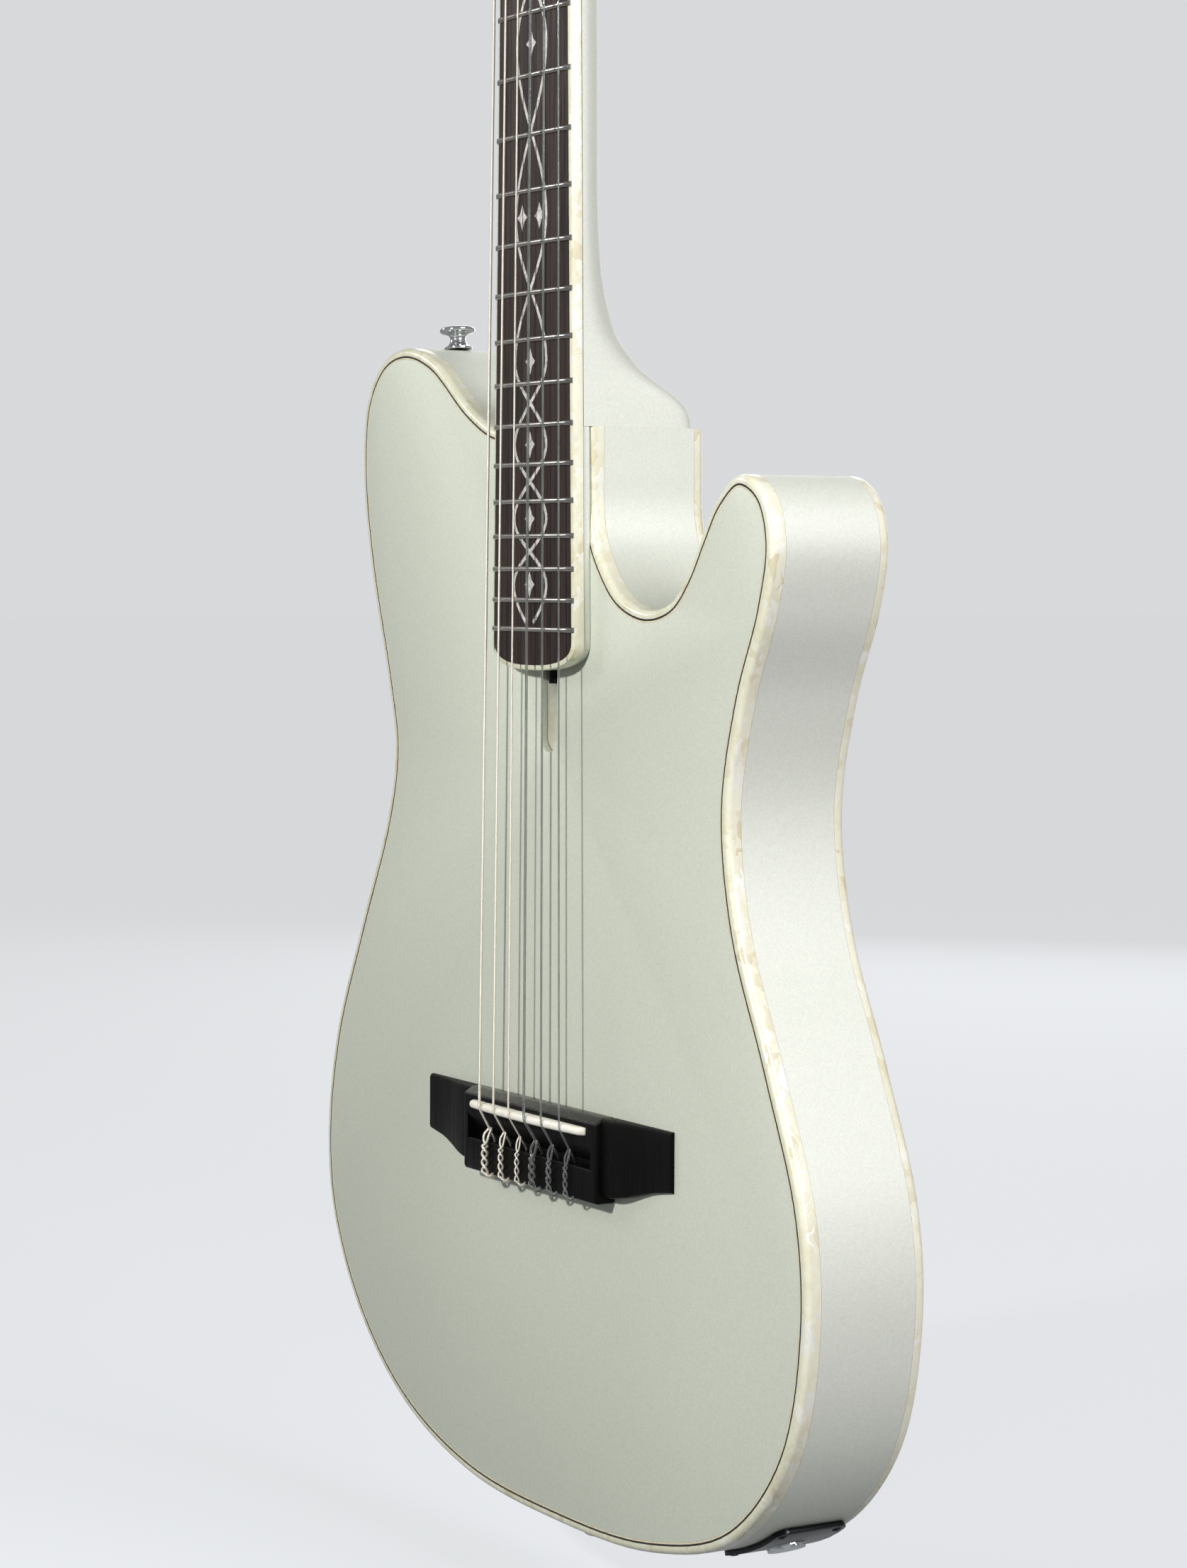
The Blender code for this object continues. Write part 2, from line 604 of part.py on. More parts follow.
def make_neck(paints, rod_cutter, lining_low_high):
    """One piece of wood: heel, tenon, tongue, shaft and the tilted, slotted head."""
    heel_back = BODY_DEPTH - BACK_BINDING_HEIGHT - GAP
    stations = ((GAP, 1.0, 10), (0.0050, 1.0, 9), (0.0095, 0.97, 7.5), (0.0135, 0.845, 5.5),
                (0.0186, 0.640, 4.0), (0.0250, 0.420, 3.2), (0.0340, 0.200, 2.7),
                (0.0500, 0.065, 2.4), (0.0700, 0.0, 2.3))
    shaft_start = HEEL_RISE + stations[-1][0]
    shaft_end = SCALE_LENGTH + NUT_LENGTH
    sections = [(HEEL_RISE + rise, NECK_BACK + (heel_back - NECK_BACK) * share, power)
                for rise, share, power in stations]
    for share, power in ((0.5, 2.2), (0.93, 2.3), (0.97, 3.2), (1.0, 6.0)):
        rise = shaft_start + (shaft_end - shaft_start) * share
        sections.append((rise, NECK_BACK + (NECK_BACK_NUT - NECK_BACK) * share, power))
    loops = []
    for rise, back, power in sections:
        half = board_half(min(rise, SCALE_LENGTH))
        depth = back + TONGUE_RISE
        loop = []
        for i in range(15):
            turn = math.pi * i / 14
            x = half * math.copysign(abs(math.cos(turn)) ** (2 / power), math.cos(turn))
            loop.append(Vector((x, depth * math.sin(turn) ** (2 / power) - TONGUE_RISE, SADDLE_Z + rise)))
        loops.append(loop)
    neck = loft("neck", loops, paints["paint"])

    low, high = lining_low_high
    tongue = [p + Vector((0.0, TONGUE_SETBACK)) for p in offset(board_outline(), GAP, False)[1:-1]]
    top = HEEL_RISE + 0.004
    half_top = board_half(top) - GAP
    tongue = [Vector((half_top, top))] + tongue + [Vector((-half_top, top))]
    join(neck, prism("tongue_join", world(tongue), -TONGUE_RISE, -GAP),
         box("tenon_join", (-TENON_HALF, low + 2 * GAP, HEEL_Z - TENON_LENGTH),
             (TENON_HALF, high - 2 * GAP, HEEL_Z + 0.003)),
         make_head_block())
    cut(neck, rod_cutter, *make_slot_cuts("neck", -0.004, HEAD_THICKNESS + 0.004), *make_roller_holes())
    return neck


def head_outline():
    """Half of the head's front view, mirrored: (x, u) points from nut to crown and back."""
    half = [(NUT_HALF, -0.001), (NUT_HALF + 0.0008, 0.006), (NUT_HALF + 0.0045, 0.0125),
            (HEAD_HALF - 0.002, 0.0170), (HEAD_HALF, HEAD_SHOULDER), (HEAD_HALF, HEAD_LENGTH - 0.028),
            (HEAD_HALF - 0.0030, HEAD_LENGTH - 0.012), (HEAD_HALF - 0.0120, HEAD_LENGTH - 0.003),
            (HEAD_HALF - 0.0240, HEAD_LENGTH - 0.0005), (0.0, HEAD_LENGTH)]
    return half + [(-x, u) for x, u in reversed(half[:-1])]


def make_head_block():
    """The head before it is slotted, its back sloping down to the neck's back."""
    outline = head_outline()
    head = loft("head_join", [[Vector((x, w, u)) for x, u in outline] for w in (0.0, HEAD_THICKNESS)], None)
    neck_w = NECK_BACK_NUT + TONGUE_RISE - 0.0008
    slope = ((neck_w, -0.002), (neck_w, 0.001), (HEAD_THICKNESS - 0.0006, 0.014), (HEAD_THICKNESS, 0.022),
             (HEAD_THICKNESS + 0.004, 0.022), (HEAD_THICKNESS + 0.004, -0.002))
    cut(head, loft("head_slope_cut", [[Vector((x, w, u)) for w, u in slope]
                                      for x in (-HEAD_HALF - 0.004, HEAD_HALF + 0.004)], None))
    return in_head(head)


def make_slot_cuts(owner, front, rear):
    """The two long windows that the rollers cross."""
    tools = []
    for side, sign in (("treble", 1), ("bass", -1)):
        xs = sorted((sign * STRING_SLOT_INNER, sign * STRING_SLOT_OUTER))
        tool = box(f"{owner}_{side}_slot_cut", (xs[0], front, STRING_SLOT_START),
                   (xs[1], rear, ROLLERS[-1] + STRING_SLOT_TAIL))
        tools.append(in_head(tool))
    return tools


def make_roller_holes():
    tools = []
    for sign in (1, -1):
        for u in ROLLERS:
            length = HEAD_HALF + 0.004 - (STRING_SLOT_INNER - ROLLER_SEAT)
            start = Vector((sign * (STRING_SLOT_INNER - ROLLER_SEAT), 0, 0))
            tool = lathe("roller_hole_cut", [(0, ROLLER_RADIUS + RUNNING), (length, ROLLER_RADIUS + RUNNING)],
                         None, sides=16, along=Vector((sign, 0, 0)), start=start)
            tools.append(in_head(tool, Vector((0, ROLLER_W, u))))
    return tools


def make_board(paints):
    """Fingerboard with its frets, its edge strip, the nut and the rod."""
    path = board_outline()
    outline = offset(path, BOARD_BINDING + GAP, False)
    middle = len(outline) // 2
    columns = (-1.0, -0.5, 0.0, 0.5, 1.0)
    loops = []
    for right, left in zip(outline[:middle], reversed(outline[middle + 1:])):
        face = []
        for share in columns:
            x = left.x + (right.x - left.x) * (share + 1) / 2
            face.append(Vector((x, BOARD_FACE + crown(x), SADDLE_Z + left.y)))
        seat = [Vector((x, BOARD_SEAT, SADDLE_Z + left.y)) for x in (right.x, left.x)]
        loops.append(face + seat)
    tip = outline[middle]
    flat = 0.001
    loops.append([Vector((share * flat, BOARD_FACE, SADDLE_Z + tip.y)) for share in columns]
                 + [Vector((x, BOARD_SEAT, SADDLE_Z + tip.y)) for x in (flat, -flat)])
    board = loft("fingerboard", loops, paints["rosewood"])
    join(board, make_frets())

    loops = []
    for outer, inner in zip(path, offset(path, BOARD_BINDING, False)):
        top = BOARD_FACE + crown(outer.x) + BINDING_STEP
        loops.append([Vector((p.x, y, SADDLE_Z + p.y)) for p, y in
                      ((outer, top), (outer, BOARD_SEAT), (inner, BOARD_SEAT), (inner, top))])
    loft("fingerboard_binding", loops, paints["pearl"])

    nut_front = BOARD_FACE - FRET_HEIGHT - NUT_ACTION - 2 * max(STRING_RADII)
    nut = box("nut", (-NUT_HALF, nut_front + max(STRING_RADII), NUT_Z + GAP),
              (NUT_HALF, BOARD_SEAT, NUT_Z + NUT_LENGTH), paints["bone"])
    for i, radius in enumerate(STRING_RADII):
        x = (i - 2.5) * NUT_SPACING
        y = string_depth_at_nut(i)
        cut(nut, box(f"nut_slot_cut_{i + 1}", (x - radius - GAP, nut_front - 0.002, NUT_Z - 0.001),
                     (x + radius + GAP, y + radius + GAP, NUT_Z + NUT_LENGTH + 0.001)))


def make_frets():
    """All the frets as one tool, each a low arched bar across the board."""
    bm = bmesh.new()
    for n in range(1, FRET_COUNT + 1):
        rise = SCALE_LENGTH * 2 ** (-n / 12)
        half = board_half(rise) - GAP
        rows = []
        for share in (-1.0, -0.5, 0.0, 0.5, 1.0):
            x = half * share
            base = BOARD_FACE + crown(x)
            ends = 0.5 if abs(share) == 1.0 else 1.0
            shape = ((-FRET_WIDTH / 2, 0.00015), (-FRET_WIDTH / 5, -FRET_HEIGHT * ends),
                     (FRET_WIDTH / 5, -FRET_HEIGHT * ends), (FRET_WIDTH / 2, 0.00015))
            rows.append([bm.verts.new((x, base + y, SADDLE_Z + rise + z)) for z, y in shape])
        for low, high in zip(rows, rows[1:]):
            for i in range(4):
                j = (i + 1) % 4
                bm.faces.new((low[i], low[j], high[j], high[i]))
        bm.faces.new(rows[0])
        bm.faces.new(rows[-1])
    return finish("frets_join", bm, None)


def make_rod(paints):
    """The truss rod under the board and the hollow nut that tightens it."""
    rod_end = SADDLE_Z + BOARD_END_RISE + TONGUE_SETBACK - 2 * GAP
    box("truss_rod", (-ROD_HALF, BOARD_SEAT + 2 * GAP, rod_end),
        (ROD_HALF, ROD_DEPTH - TONGUE_RISE, NUT_Z - 0.006 - GAP), paints["steel"])
    centre = Vector((0.0, ROD_NUT_RADIUS + GAP, rod_end - GAP))
    nut = lathe("truss_rod_nut", [(0, ROD_NUT_RADIUS), (ROD_NUT_LENGTH, ROD_NUT_RADIUS)], paints["steel"],
                sides=16, along=Vector((0, 0, -1)))
    nut.location = centre
    socket = [(ROD_NUT_LENGTH / 2, ROD_KEY_RADIUS), (ROD_NUT_LENGTH + 0.001, ROD_KEY_RADIUS)]
    key = lathe("rod_key_cut", socket, None, sides=6, along=Vector((0, 0, -1)))
    key.location = centre
    cut(nut, key)
    return centre


def make_bridge(paints):
    """Classical tie bridge: saddle ridge, trough, drilled tie block and two thin wings."""
    profile = [(BRIDGE_UPPER, -GAP), (BRIDGE_UPPER, -BRIDGE_HEIGHT + 0.002),
               (BRIDGE_UPPER - 0.0015, -BRIDGE_HEIGHT), (-0.0045, -BRIDGE_HEIGHT),
               (-TROUGH_START, -TROUGH_HEIGHT), (-TROUGH_END, -TROUGH_HEIGHT),
               (-TROUGH_END - 0.0003, -BRIDGE_HEIGHT), (-BRIDGE_LOWER + 0.001, -BRIDGE_HEIGHT),
               (-BRIDGE_LOWER, -BRIDGE_HEIGHT + 0.001), (-BRIDGE_LOWER, -GAP)]
    bridge = loft("bridge", [[Vector((x, y, SADDLE_Z + z)) for z, y in profile]
                             for x in (-BRIDGE_BLOCK_HALF, BRIDGE_BLOCK_HALF)], paints["ebony"])
    for name, sign in (("treble_wing_join", 1), ("bass_wing_join", -1)):
        loops = []
        for share, reach, drop in ((-0.06, 0.0077, 0.0), (0.14, 0.0074, 0.10), (0.30, 0.0062, 0.30),
                                   (0.50, 0.0040, 0.62), (0.72, 0.0016, 0.86), (1.0, 0.0, 1.0)):
            x = sign * (BRIDGE_BLOCK_HALF + (BRIDGE_HALF - BRIDGE_BLOCK_HALF) * share)
            upper, lower = BRIDGE_UPPER - 0.0003, WING_LOWER + reach
            height = WING_HEIGHT + (WING_TIP_HEIGHT - WING_HEIGHT) * drop
            loops.append([Vector((x, y, SADDLE_Z + z)) for z, y in
                          ((upper, -GAP), (upper, -height + 0.0006), (upper - 0.0006, -height),
                           (-lower + 0.0006, -height), (-lower, -height + 0.0006), (-lower, -GAP))])
        join(bridge, loft(name, loops, None))
    half_slot = SADDLE_THICKNESS / 2 + GAP
    cut(bridge, box("saddle_slot_cut", (-SADDLE_HALF - GAP, -BRIDGE_HEIGHT - 0.002, SADDLE_Z - half_slot),
                    (SADDLE_HALF + GAP, -SADDLE_SLOT_FLOOR, SADDLE_Z + half_slot)))
    for i in range(len(STRING_RADII)):
        start = Vector(((i - 2.5) * SADDLE_SPACING, -TIE_HOLE_HEIGHT, SADDLE_Z - TROUGH_START + 0.002))
        cut(bridge, lathe(f"tie_hole_cut_{i + 1}", [(0, TIE_HOLE_RADIUS), (BRIDGE_LOWER, TIE_HOLE_RADIUS)],
                          None, sides=10, along=Vector((0, 0, -1)), start=start))
    piezo_front = -SADDLE_SLOT_FLOOR - GAP - PIEZO_HEIGHT
    box("piezo_strip", (-SADDLE_HALF, piezo_front, SADDLE_Z - SADDLE_THICKNESS / 2),
        (SADDLE_HALF, -SADDLE_SLOT_FLOOR - GAP, SADDLE_Z + SADDLE_THICKNESS / 2), paints["steel"])
    loops = []
    for i in range(9):
        x = SADDLE_HALF * (i / 4 - 1)
        front = -SADDLE_TOP + crown(x)
        half = SADDLE_THICKNESS / 2
        loops.append([Vector((x, y, SADDLE_Z + z)) for z, y in
                      ((-half, piezo_front - GAP), (half, piezo_front - GAP), (half, front + 0.0012),
                       (half / 2, front + 0.0002), (0.0, front), (-half / 2, front + 0.0002),
                       (-half, front + 0.0012))])
    loft("saddle", loops, paints["bone"])


def string_depth_at_nut(i):
    x = (i - 2.5) * NUT_SPACING
    return BOARD_FACE + crown(x) - FRET_HEIGHT - NUT_ACTION - STRING_RADII[i]


def string_depth_at_saddle(i):
    x = (i - 2.5) * SADDLE_SPACING
    return -SADDLE_TOP + crown(x) - GAP - STRING_RADII[i]


def machine_for(i):
    """Which roller a string goes to: outer strings to the nearest, inner to the farthest."""
    return i if i < 3 else 5 - i


def make_strings(paints):
    """Six strings, tied at the bridge, and the turns that each has on its roller."""
    least_tie, least_turn = 1.0, 1.0
    for i, radius in enumerate(STRING_RADII):
        paint = paints["wound"] if i < 3 else paints["nylon"]
        level = machine_for(i)
        sign = -1 if i < 3 else 1
        wrap = ROLLER_RADIUS + GAP + radius
        nut_x, saddle_x = (i - 2.5) * NUT_SPACING, (i - 2.5) * SADDLE_SPACING
        nut_back = Vector((nut_x, string_depth_at_nut(i), NUT_Z + NUT_LENGTH - 0.0005))
        nut_front = Vector((nut_x, string_depth_at_nut(i), NUT_Z + GAP))
        local = head_matrix().inverted() @ nut_back
        reach = Vector((ROLLERS[level] - local.z, ROLLER_W - local.y))
        swing = math.asin(wrap / reach.length)
        length = math.sqrt(reach.length ** 2 - wrap ** 2)
        heading = math.atan2(reach.y, reach.x) - swing
        start_x = sign * WINDING_STARTS[level]
        touch = Vector((start_x, local.y + length * math.sin(heading), local.z + length * math.cos(heading)))
        line = (touch - local).normalized()

        pitch = 2 * radius + WINDING_CLEAR
        first = math.atan2(touch.z - ROLLERS[level], ROLLER_W - touch.y)
        turns = [touch - line * WINDING_STUB, touch - line * WINDING_STUB / 2]
        steps = round(WINDING_TURNS * 14)
        for k in range(steps + 1):
            angle = first + 2 * math.pi * k / 14
            turns.append(Vector((start_x + sign * pitch * k / 14, ROLLER_W - wrap * math.cos(angle),
                                 ROLLERS[level] + wrap * math.sin(angle))))
        least_turn = min(least_turn, segment_gap(turns[2:], radius, 12))
        axis = Vector((0, ROLLER_W, ROLLERS[level]))
        winding = tube(f"string_winding_{i + 1}", [point - axis for point in turns], radius, paint, 0)
        in_head(winding, axis)

        end = head_matrix() @ (touch - line * (WINDING_STUB + GAP))
        depth = string_depth_at_saddle(i)
        hole = -TIE_HOLE_HEIGHT
        over = -BRIDGE_HEIGHT - GAP - radius
        rear = BRIDGE_LOWER + GAP + radius
        aside = saddle_x + 2 * radius + 0.0008
        tie = [(saddle_x, depth, 0.0), (saddle_x, hole, -TROUGH_END + 0.0012),
               (saddle_x, hole, -rear + 0.0006), (saddle_x, hole - 0.0006, -rear - 0.0002), (saddle_x + 0.0003, over + 0.0009, -rear - 0.0002),
               (saddle_x + 0.0006, over, -rear + 0.0012), (aside, over, -TROUGH_END - 0.001),
               (aside, over + 0.0004, -TROUGH_END + 0.0006), (aside, over + 0.0022, -TROUGH_END + 0.0014)]
        tail = [Vector((x, y, SADDLE_Z + z)) for x, y, z in tie]
        least_tie = min(least_tie, segment_gap(tail[2:], radius, 2))
        tube(f"string_{i + 1}", [end, nut_back, nut_front] + tail, radius, paint)
    print(f"least gap in a winding {least_turn * 1000:.2f} mm, in a tie {least_tie * 1000:.2f} mm")


def gear_loop(x, turn):
    """Tooth outline of the roller's gear in its own frame, turned about X."""
    tip = GEAR_PITCH_RADIUS + TOOTH_HALF_HEIGHT * 0.85
    root = GEAR_PITCH_RADIUS - TOOTH_HALF_HEIGHT * 1.45
    step = 2 * math.pi / GEAR_TEETH
    loop = []
    for k in range(GEAR_TEETH):
        for share, radius in ((-0.29, root), (-0.10, tip), (0.10, tip), (0.29, root)):
            angle = (k + share) * step + turn
            loop.append(Vector((x, radius * math.sin(angle), -radius * math.cos(angle))))
    return loop


def make_rollers(paints):
    """Barrel, neck and gear of each machine; the gear's teeth follow the worm's lead."""
    lead = WORM_PITCH / (2 * math.pi * WORM_PITCH_RADIUS)
    half = GEAR_THICKNESS / 2
    twist = lead * half / GEAR_PITCH_RADIUS
    for i in range(6):
        sign = -1 if i < 3 else 1
        centre = sign * GEAR_X
        loops = [gear_loop(centre - half, -twist), gear_loop(centre + half, twist)]
        place = Vector((0, ROLLER_W, ROLLERS[machine_for(i)]))
        roller = in_head(loft(f"roller_{i + 1}", loops, paints["chrome"]), place)
        start = Vector((sign * (STRING_SLOT_INNER - ROLLER_SEAT + GAP), 0, 0))
        first = HEAD_HALF - 0.0006 - abs(start.x)
        shaft = [(0, ROLLER_RADIUS), (first, ROLLER_RADIUS), (first, ROLLER_NECK_RADIUS),
                 (GEAR_X + half + 0.0005 - abs(start.x), ROLLER_NECK_RADIUS)]
        join(roller, in_head(lathe(f"roller_shaft_join_{i + 1}", shaft, None, sides=12,
                                   along=Vector((sign, 0, 0)), start=start), place))


def make_keys(paints):
    """Worm, shaft and oval button in one piece for each machine."""
    sides = 10
    tip = WORM_PITCH_RADIUS + TOOTH_HALF_HEIGHT * 0.8
    root = WORM_PITCH_RADIUS - TOOTH_HALF_HEIGHT * 1.45
    start = -WORM_TURNS / 2 * WORM_PITCH
    end = -start
    shares = (0.30, 0.42, 0.58, 0.70)
    heights = (root, tip, tip, root)

    def ring(along, radius_u, radius_x, power=1.0):
        points = []
        for j in range(sides):
            angle = 2 * math.pi * j / sides
            u = math.copysign(abs(math.cos(angle)) ** power, math.cos(angle)) * radius_u
            x = math.copysign(abs(math.sin(angle)) ** power, math.sin(angle)) * radius_x
            points.append(Vector((x, along, u)))
        return points

    first = -(WORM_TURNS // 2 + 2)
    rows = 4 * (math.ceil(WORM_TURNS / 2) - first)
    button = BUTTON_START - ROLLER_W
    ear_end = end + GAP + EAR_THICKNESS + GAP
    tail = [(ear_end, WORM_SHAFT_RADIUS, WORM_SHAFT_RADIUS), (ear_end + 0.0004, 0.0021, 0.0021),
            (button, 0.0021, 0.0021),
            (button + BUTTON_LENGTH * 0.12, BUTTON_HALF * 0.8, BUTTON_THICK_HALF * 0.85),
            (button + BUTTON_LENGTH * 0.55, BUTTON_HALF, BUTTON_THICK_HALF),
            (button + BUTTON_LENGTH * 0.88, BUTTON_HALF * 0.80, BUTTON_THICK_HALF * 0.85),
            (button + BUTTON_LENGTH, BUTTON_HALF * 0.42, BUTTON_THICK_HALF * 0.5)]
    nose = start - GAP - EAR_THICKNESS - GAP
    front = [(nose - 0.0008, 0.0021, 0.0021), (nose, 0.0021, 0.0021),
             (nose, WORM_SHAFT_RADIUS, WORM_SHAFT_RADIUS), (start, WORM_SHAFT_RADIUS, WORM_SHAFT_RADIUS)]
    for i in range(6):
        sign = -1 if i < 3 else 1
        bm = bmesh.new()
        columns = []
        for j in range(sides):
            angle = 2 * math.pi * j / sides
            column = []
            for k in range(rows + 1):
                s = WORM_PITCH * (first + k // 4 + shares[k % 4] + j / sides)
                radius = heights[k % 4]
                if s <= start or s >= end:
                    s = min(max(s, start), end)
                    radius = root
                column.append(bm.verts.new((radius * math.sin(angle), s, radius * math.cos(angle))))
            columns.append(column)
        for j in range(sides):
            here, there = columns[j], columns[(j + 1) % sides]
            ahead = 4 if j == sides - 1 else 0
            for k in range(-ahead, rows):
                low, high = min(k + ahead, rows), min(k + ahead + 1, rows)
                corners = (here[max(k, 0)], there[low], there[high], here[max(k + 1, 0)])
                corners = tuple(dict.fromkeys(corners))
                if len(corners) > 2:
                    bm.faces.new(corners)

        def skin(rings, last):
            previous = [bm.verts.new(p) for p in ring(*rings[0])]
            bm.faces.new(previous)
            for entry in rings[1:]:
                current = [bm.verts.new(p) for p in ring(*entry)]
                for a in range(sides):
                    b = (a + 1) % sides
                    bm.faces.new((previous[a], previous[b], current[b], current[a]))
                previous = current
            mate = [column[last] for column in columns]
            for a in range(sides):
                b = (a + 1) % sides
                bm.faces.new((previous[a], previous[b], mate[b], mate[a]))

        skin(front, 0)
        skin(list(reversed(tail)) + [(end, WORM_SHAFT_RADIUS, WORM_SHAFT_RADIUS)], rows)
        key = finish(f"tuner_key_{i + 1}", bm, paints["button"])
        in_head(key, Vector((sign * GEAR_X, ROLLER_W, ROLLERS[machine_for(i)] - WORM_OFFSET)))


def make_plates(paints):
    """Side plates with two ears for each worm's shaft."""
    reach = WORM_TURNS / 2 * WORM_PITCH + GAP
    for side, sign in (("treble", 1), ("bass", -1)):
        def across(a, b):
            return sorted((sign * a, sign * b))
        near, far = across(HEAD_HALF + GAP, PLATE_OUTER)
        low = ROLLERS[0] - WORM_OFFSET - EAR_HALF - 0.004
        plate = box(f"tuner_plate_{side}", (near, PLATE_MARGIN, low),
                    (far, HEAD_THICKNESS - PLATE_MARGIN, ROLLERS[-1] + PLATE_PAST_ROLLER), paints["chrome"])
        in_head(plate)
        for n, u in enumerate(ROLLERS):
            worm = u - WORM_OFFSET
            for where, w in (("front", ROLLER_W - reach - EAR_THICKNESS), ("rear", ROLLER_W + reach)):
                ear_near, ear_far = across(PLATE_OUTER - 0.0004, GEAR_X + EAR_HALF)
                w_low, w_high = w, w + EAR_THICKNESS
                ear = box(f"{side}_{where}_ear_join_{n + 1}", (ear_near, w_low, worm - EAR_HALF),
                          (ear_far, w_high, worm + EAR_HALF))
                join(plate, in_head(ear))
            bore = lathe(f"{side}_worm_cut_{n + 1}", [(0, WORM_SHAFT_RADIUS + RUNNING),
                                                      (HEAD_THICKNESS + 0.006, WORM_SHAFT_RADIUS + RUNNING)],
                         None, sides=8, along=Vector((0, 1, 0)))
            hole = lathe(f"{side}_roller_cut_{n + 1}", [(0, ROLLER_NECK_RADIUS + RUNNING),
                                                        (0.006, ROLLER_NECK_RADIUS + RUNNING)],
                         None, sides=12, along=Vector((sign, 0, 0)))
            cut(plate, in_head(bore, Vector((sign * GEAR_X, -0.003, worm))),
                in_head(hole, Vector((sign * (HEAD_HALF - 0.002), ROLLER_W, u))))


def make_veneer(paints):
    outline = head_outline()
    veneer = loft("head_veneer", [[Vector((x, w, max(u, 0.0))) for x, u in outline]
                                  for w in (-GAP - VENEER_THICKNESS, -GAP)], paints["rosewood"])
    in_head(veneer)
    cut(veneer, *make_slot_cuts("veneer", -0.006, 0.004))


def make_strap_buttons(paints, edge):
    profile = [(GAP, 0.0055), (0.0018, 0.0055), (0.0028, 0.0036), (0.0048, 0.0031),
               (STRAP_BUTTON_HEIGHT - 0.0032, 0.0040), (STRAP_BUTTON_HEIGHT - 0.0027, STRAP_BUTTON_RADIUS),
               (STRAP_BUTTON_HEIGHT - 0.0008, STRAP_BUTTON_RADIUS),
               (STRAP_BUTTON_HEIGHT, STRAP_BUTTON_RADIUS - 0.0012)]
    for name, spot in (("upper_strap_button", HORN_BUTTON_SPOT), ("lower_strap_button", TAIL_BUTTON_SPOT)):
        foot, _, normal = nearest(edge, spot)
        start = Vector((foot.x, BODY_DEPTH / 2, SADDLE_Z + foot.y))
        made = lathe(name, profile, paints["chrome"], sides=16, along=Vector((normal.x, 0, normal.y)))
        made.location = start
        print(name, [round(v, 5) for v in start], "faces", [round(normal.x, 5), round(normal.y, 5)])


def make_controls(paints, edge, rim):
    """Two knobs on the bass shoulder and the preamplifier box behind them."""
    foot, direction, normal = nearest(edge, KNOB_SPOT)
    along = Vector((direction.x, 0, direction.y))
    out = Vector((normal.x, 0, normal.y))
    start = Vector((foot.x, BODY_DEPTH / 2, SADDLE_Z + foot.y))
    deep = Vector((0, PREAMP_HALF_DEPTH, 0))

    def slab(name, near, far, half, paint=None):
        loops = []
        for level in (near, far):
            centre = start - out * level
            corners = ((-1, -1), (1, -1), (1, 1), (-1, 1))
            loops.append([centre + along * a * half + deep * b for a, b in corners])
        return loft(name, loops, paint)

    face = RIM_THICKNESS + PREAMP_SETBACK
    preamp = slab("preamp", face, face + PREAMP_THICKNESS, PREAMP_HALF, paints["plastic"])
    boss_radius = KNOB_SHAFT_RADIUS + RUNNING + 0.0012
    for name, sign in (("volume_knob", -1), ("tone_knob", 1)):
        centre = start + along * KNOB_SPREAD * sign
        reach = [(RIM_THICKNESS + BOSS_SETBACK, boss_radius), (face + 0.001, boss_radius)]
        boss = lathe(f"{name}_boss_join", reach, None, sides=12, along=-out, start=centre)
        join(preamp, boss)
        bore = lathe(f"{name}_bore_cut", [(-0.004, KNOB_SHAFT_RADIUS + RUNNING),
                                          (KNOB_SHAFT_LENGTH + RUNNING, KNOB_SHAFT_RADIUS + RUNNING)],
                     None, sides=12, along=-out, start=centre)
        cut(preamp, bore)
        cut(rim, bore)
        profile = [(-KNOB_SHAFT_LENGTH, KNOB_SHAFT_RADIUS), (GAP, KNOB_SHAFT_RADIUS), (GAP, KNOB_RADIUS),
                   (KNOB_HEIGHT - 0.001, KNOB_RADIUS - 0.0006), (KNOB_HEIGHT, KNOB_RADIUS - 0.0016)]
        knob = lathe(name, profile, paints["plastic"], sides=16, along=out)
        knob.location = centre
        print(name, [round(v, 5) for v in centre], "axis", [round(v, 5) for v in out])


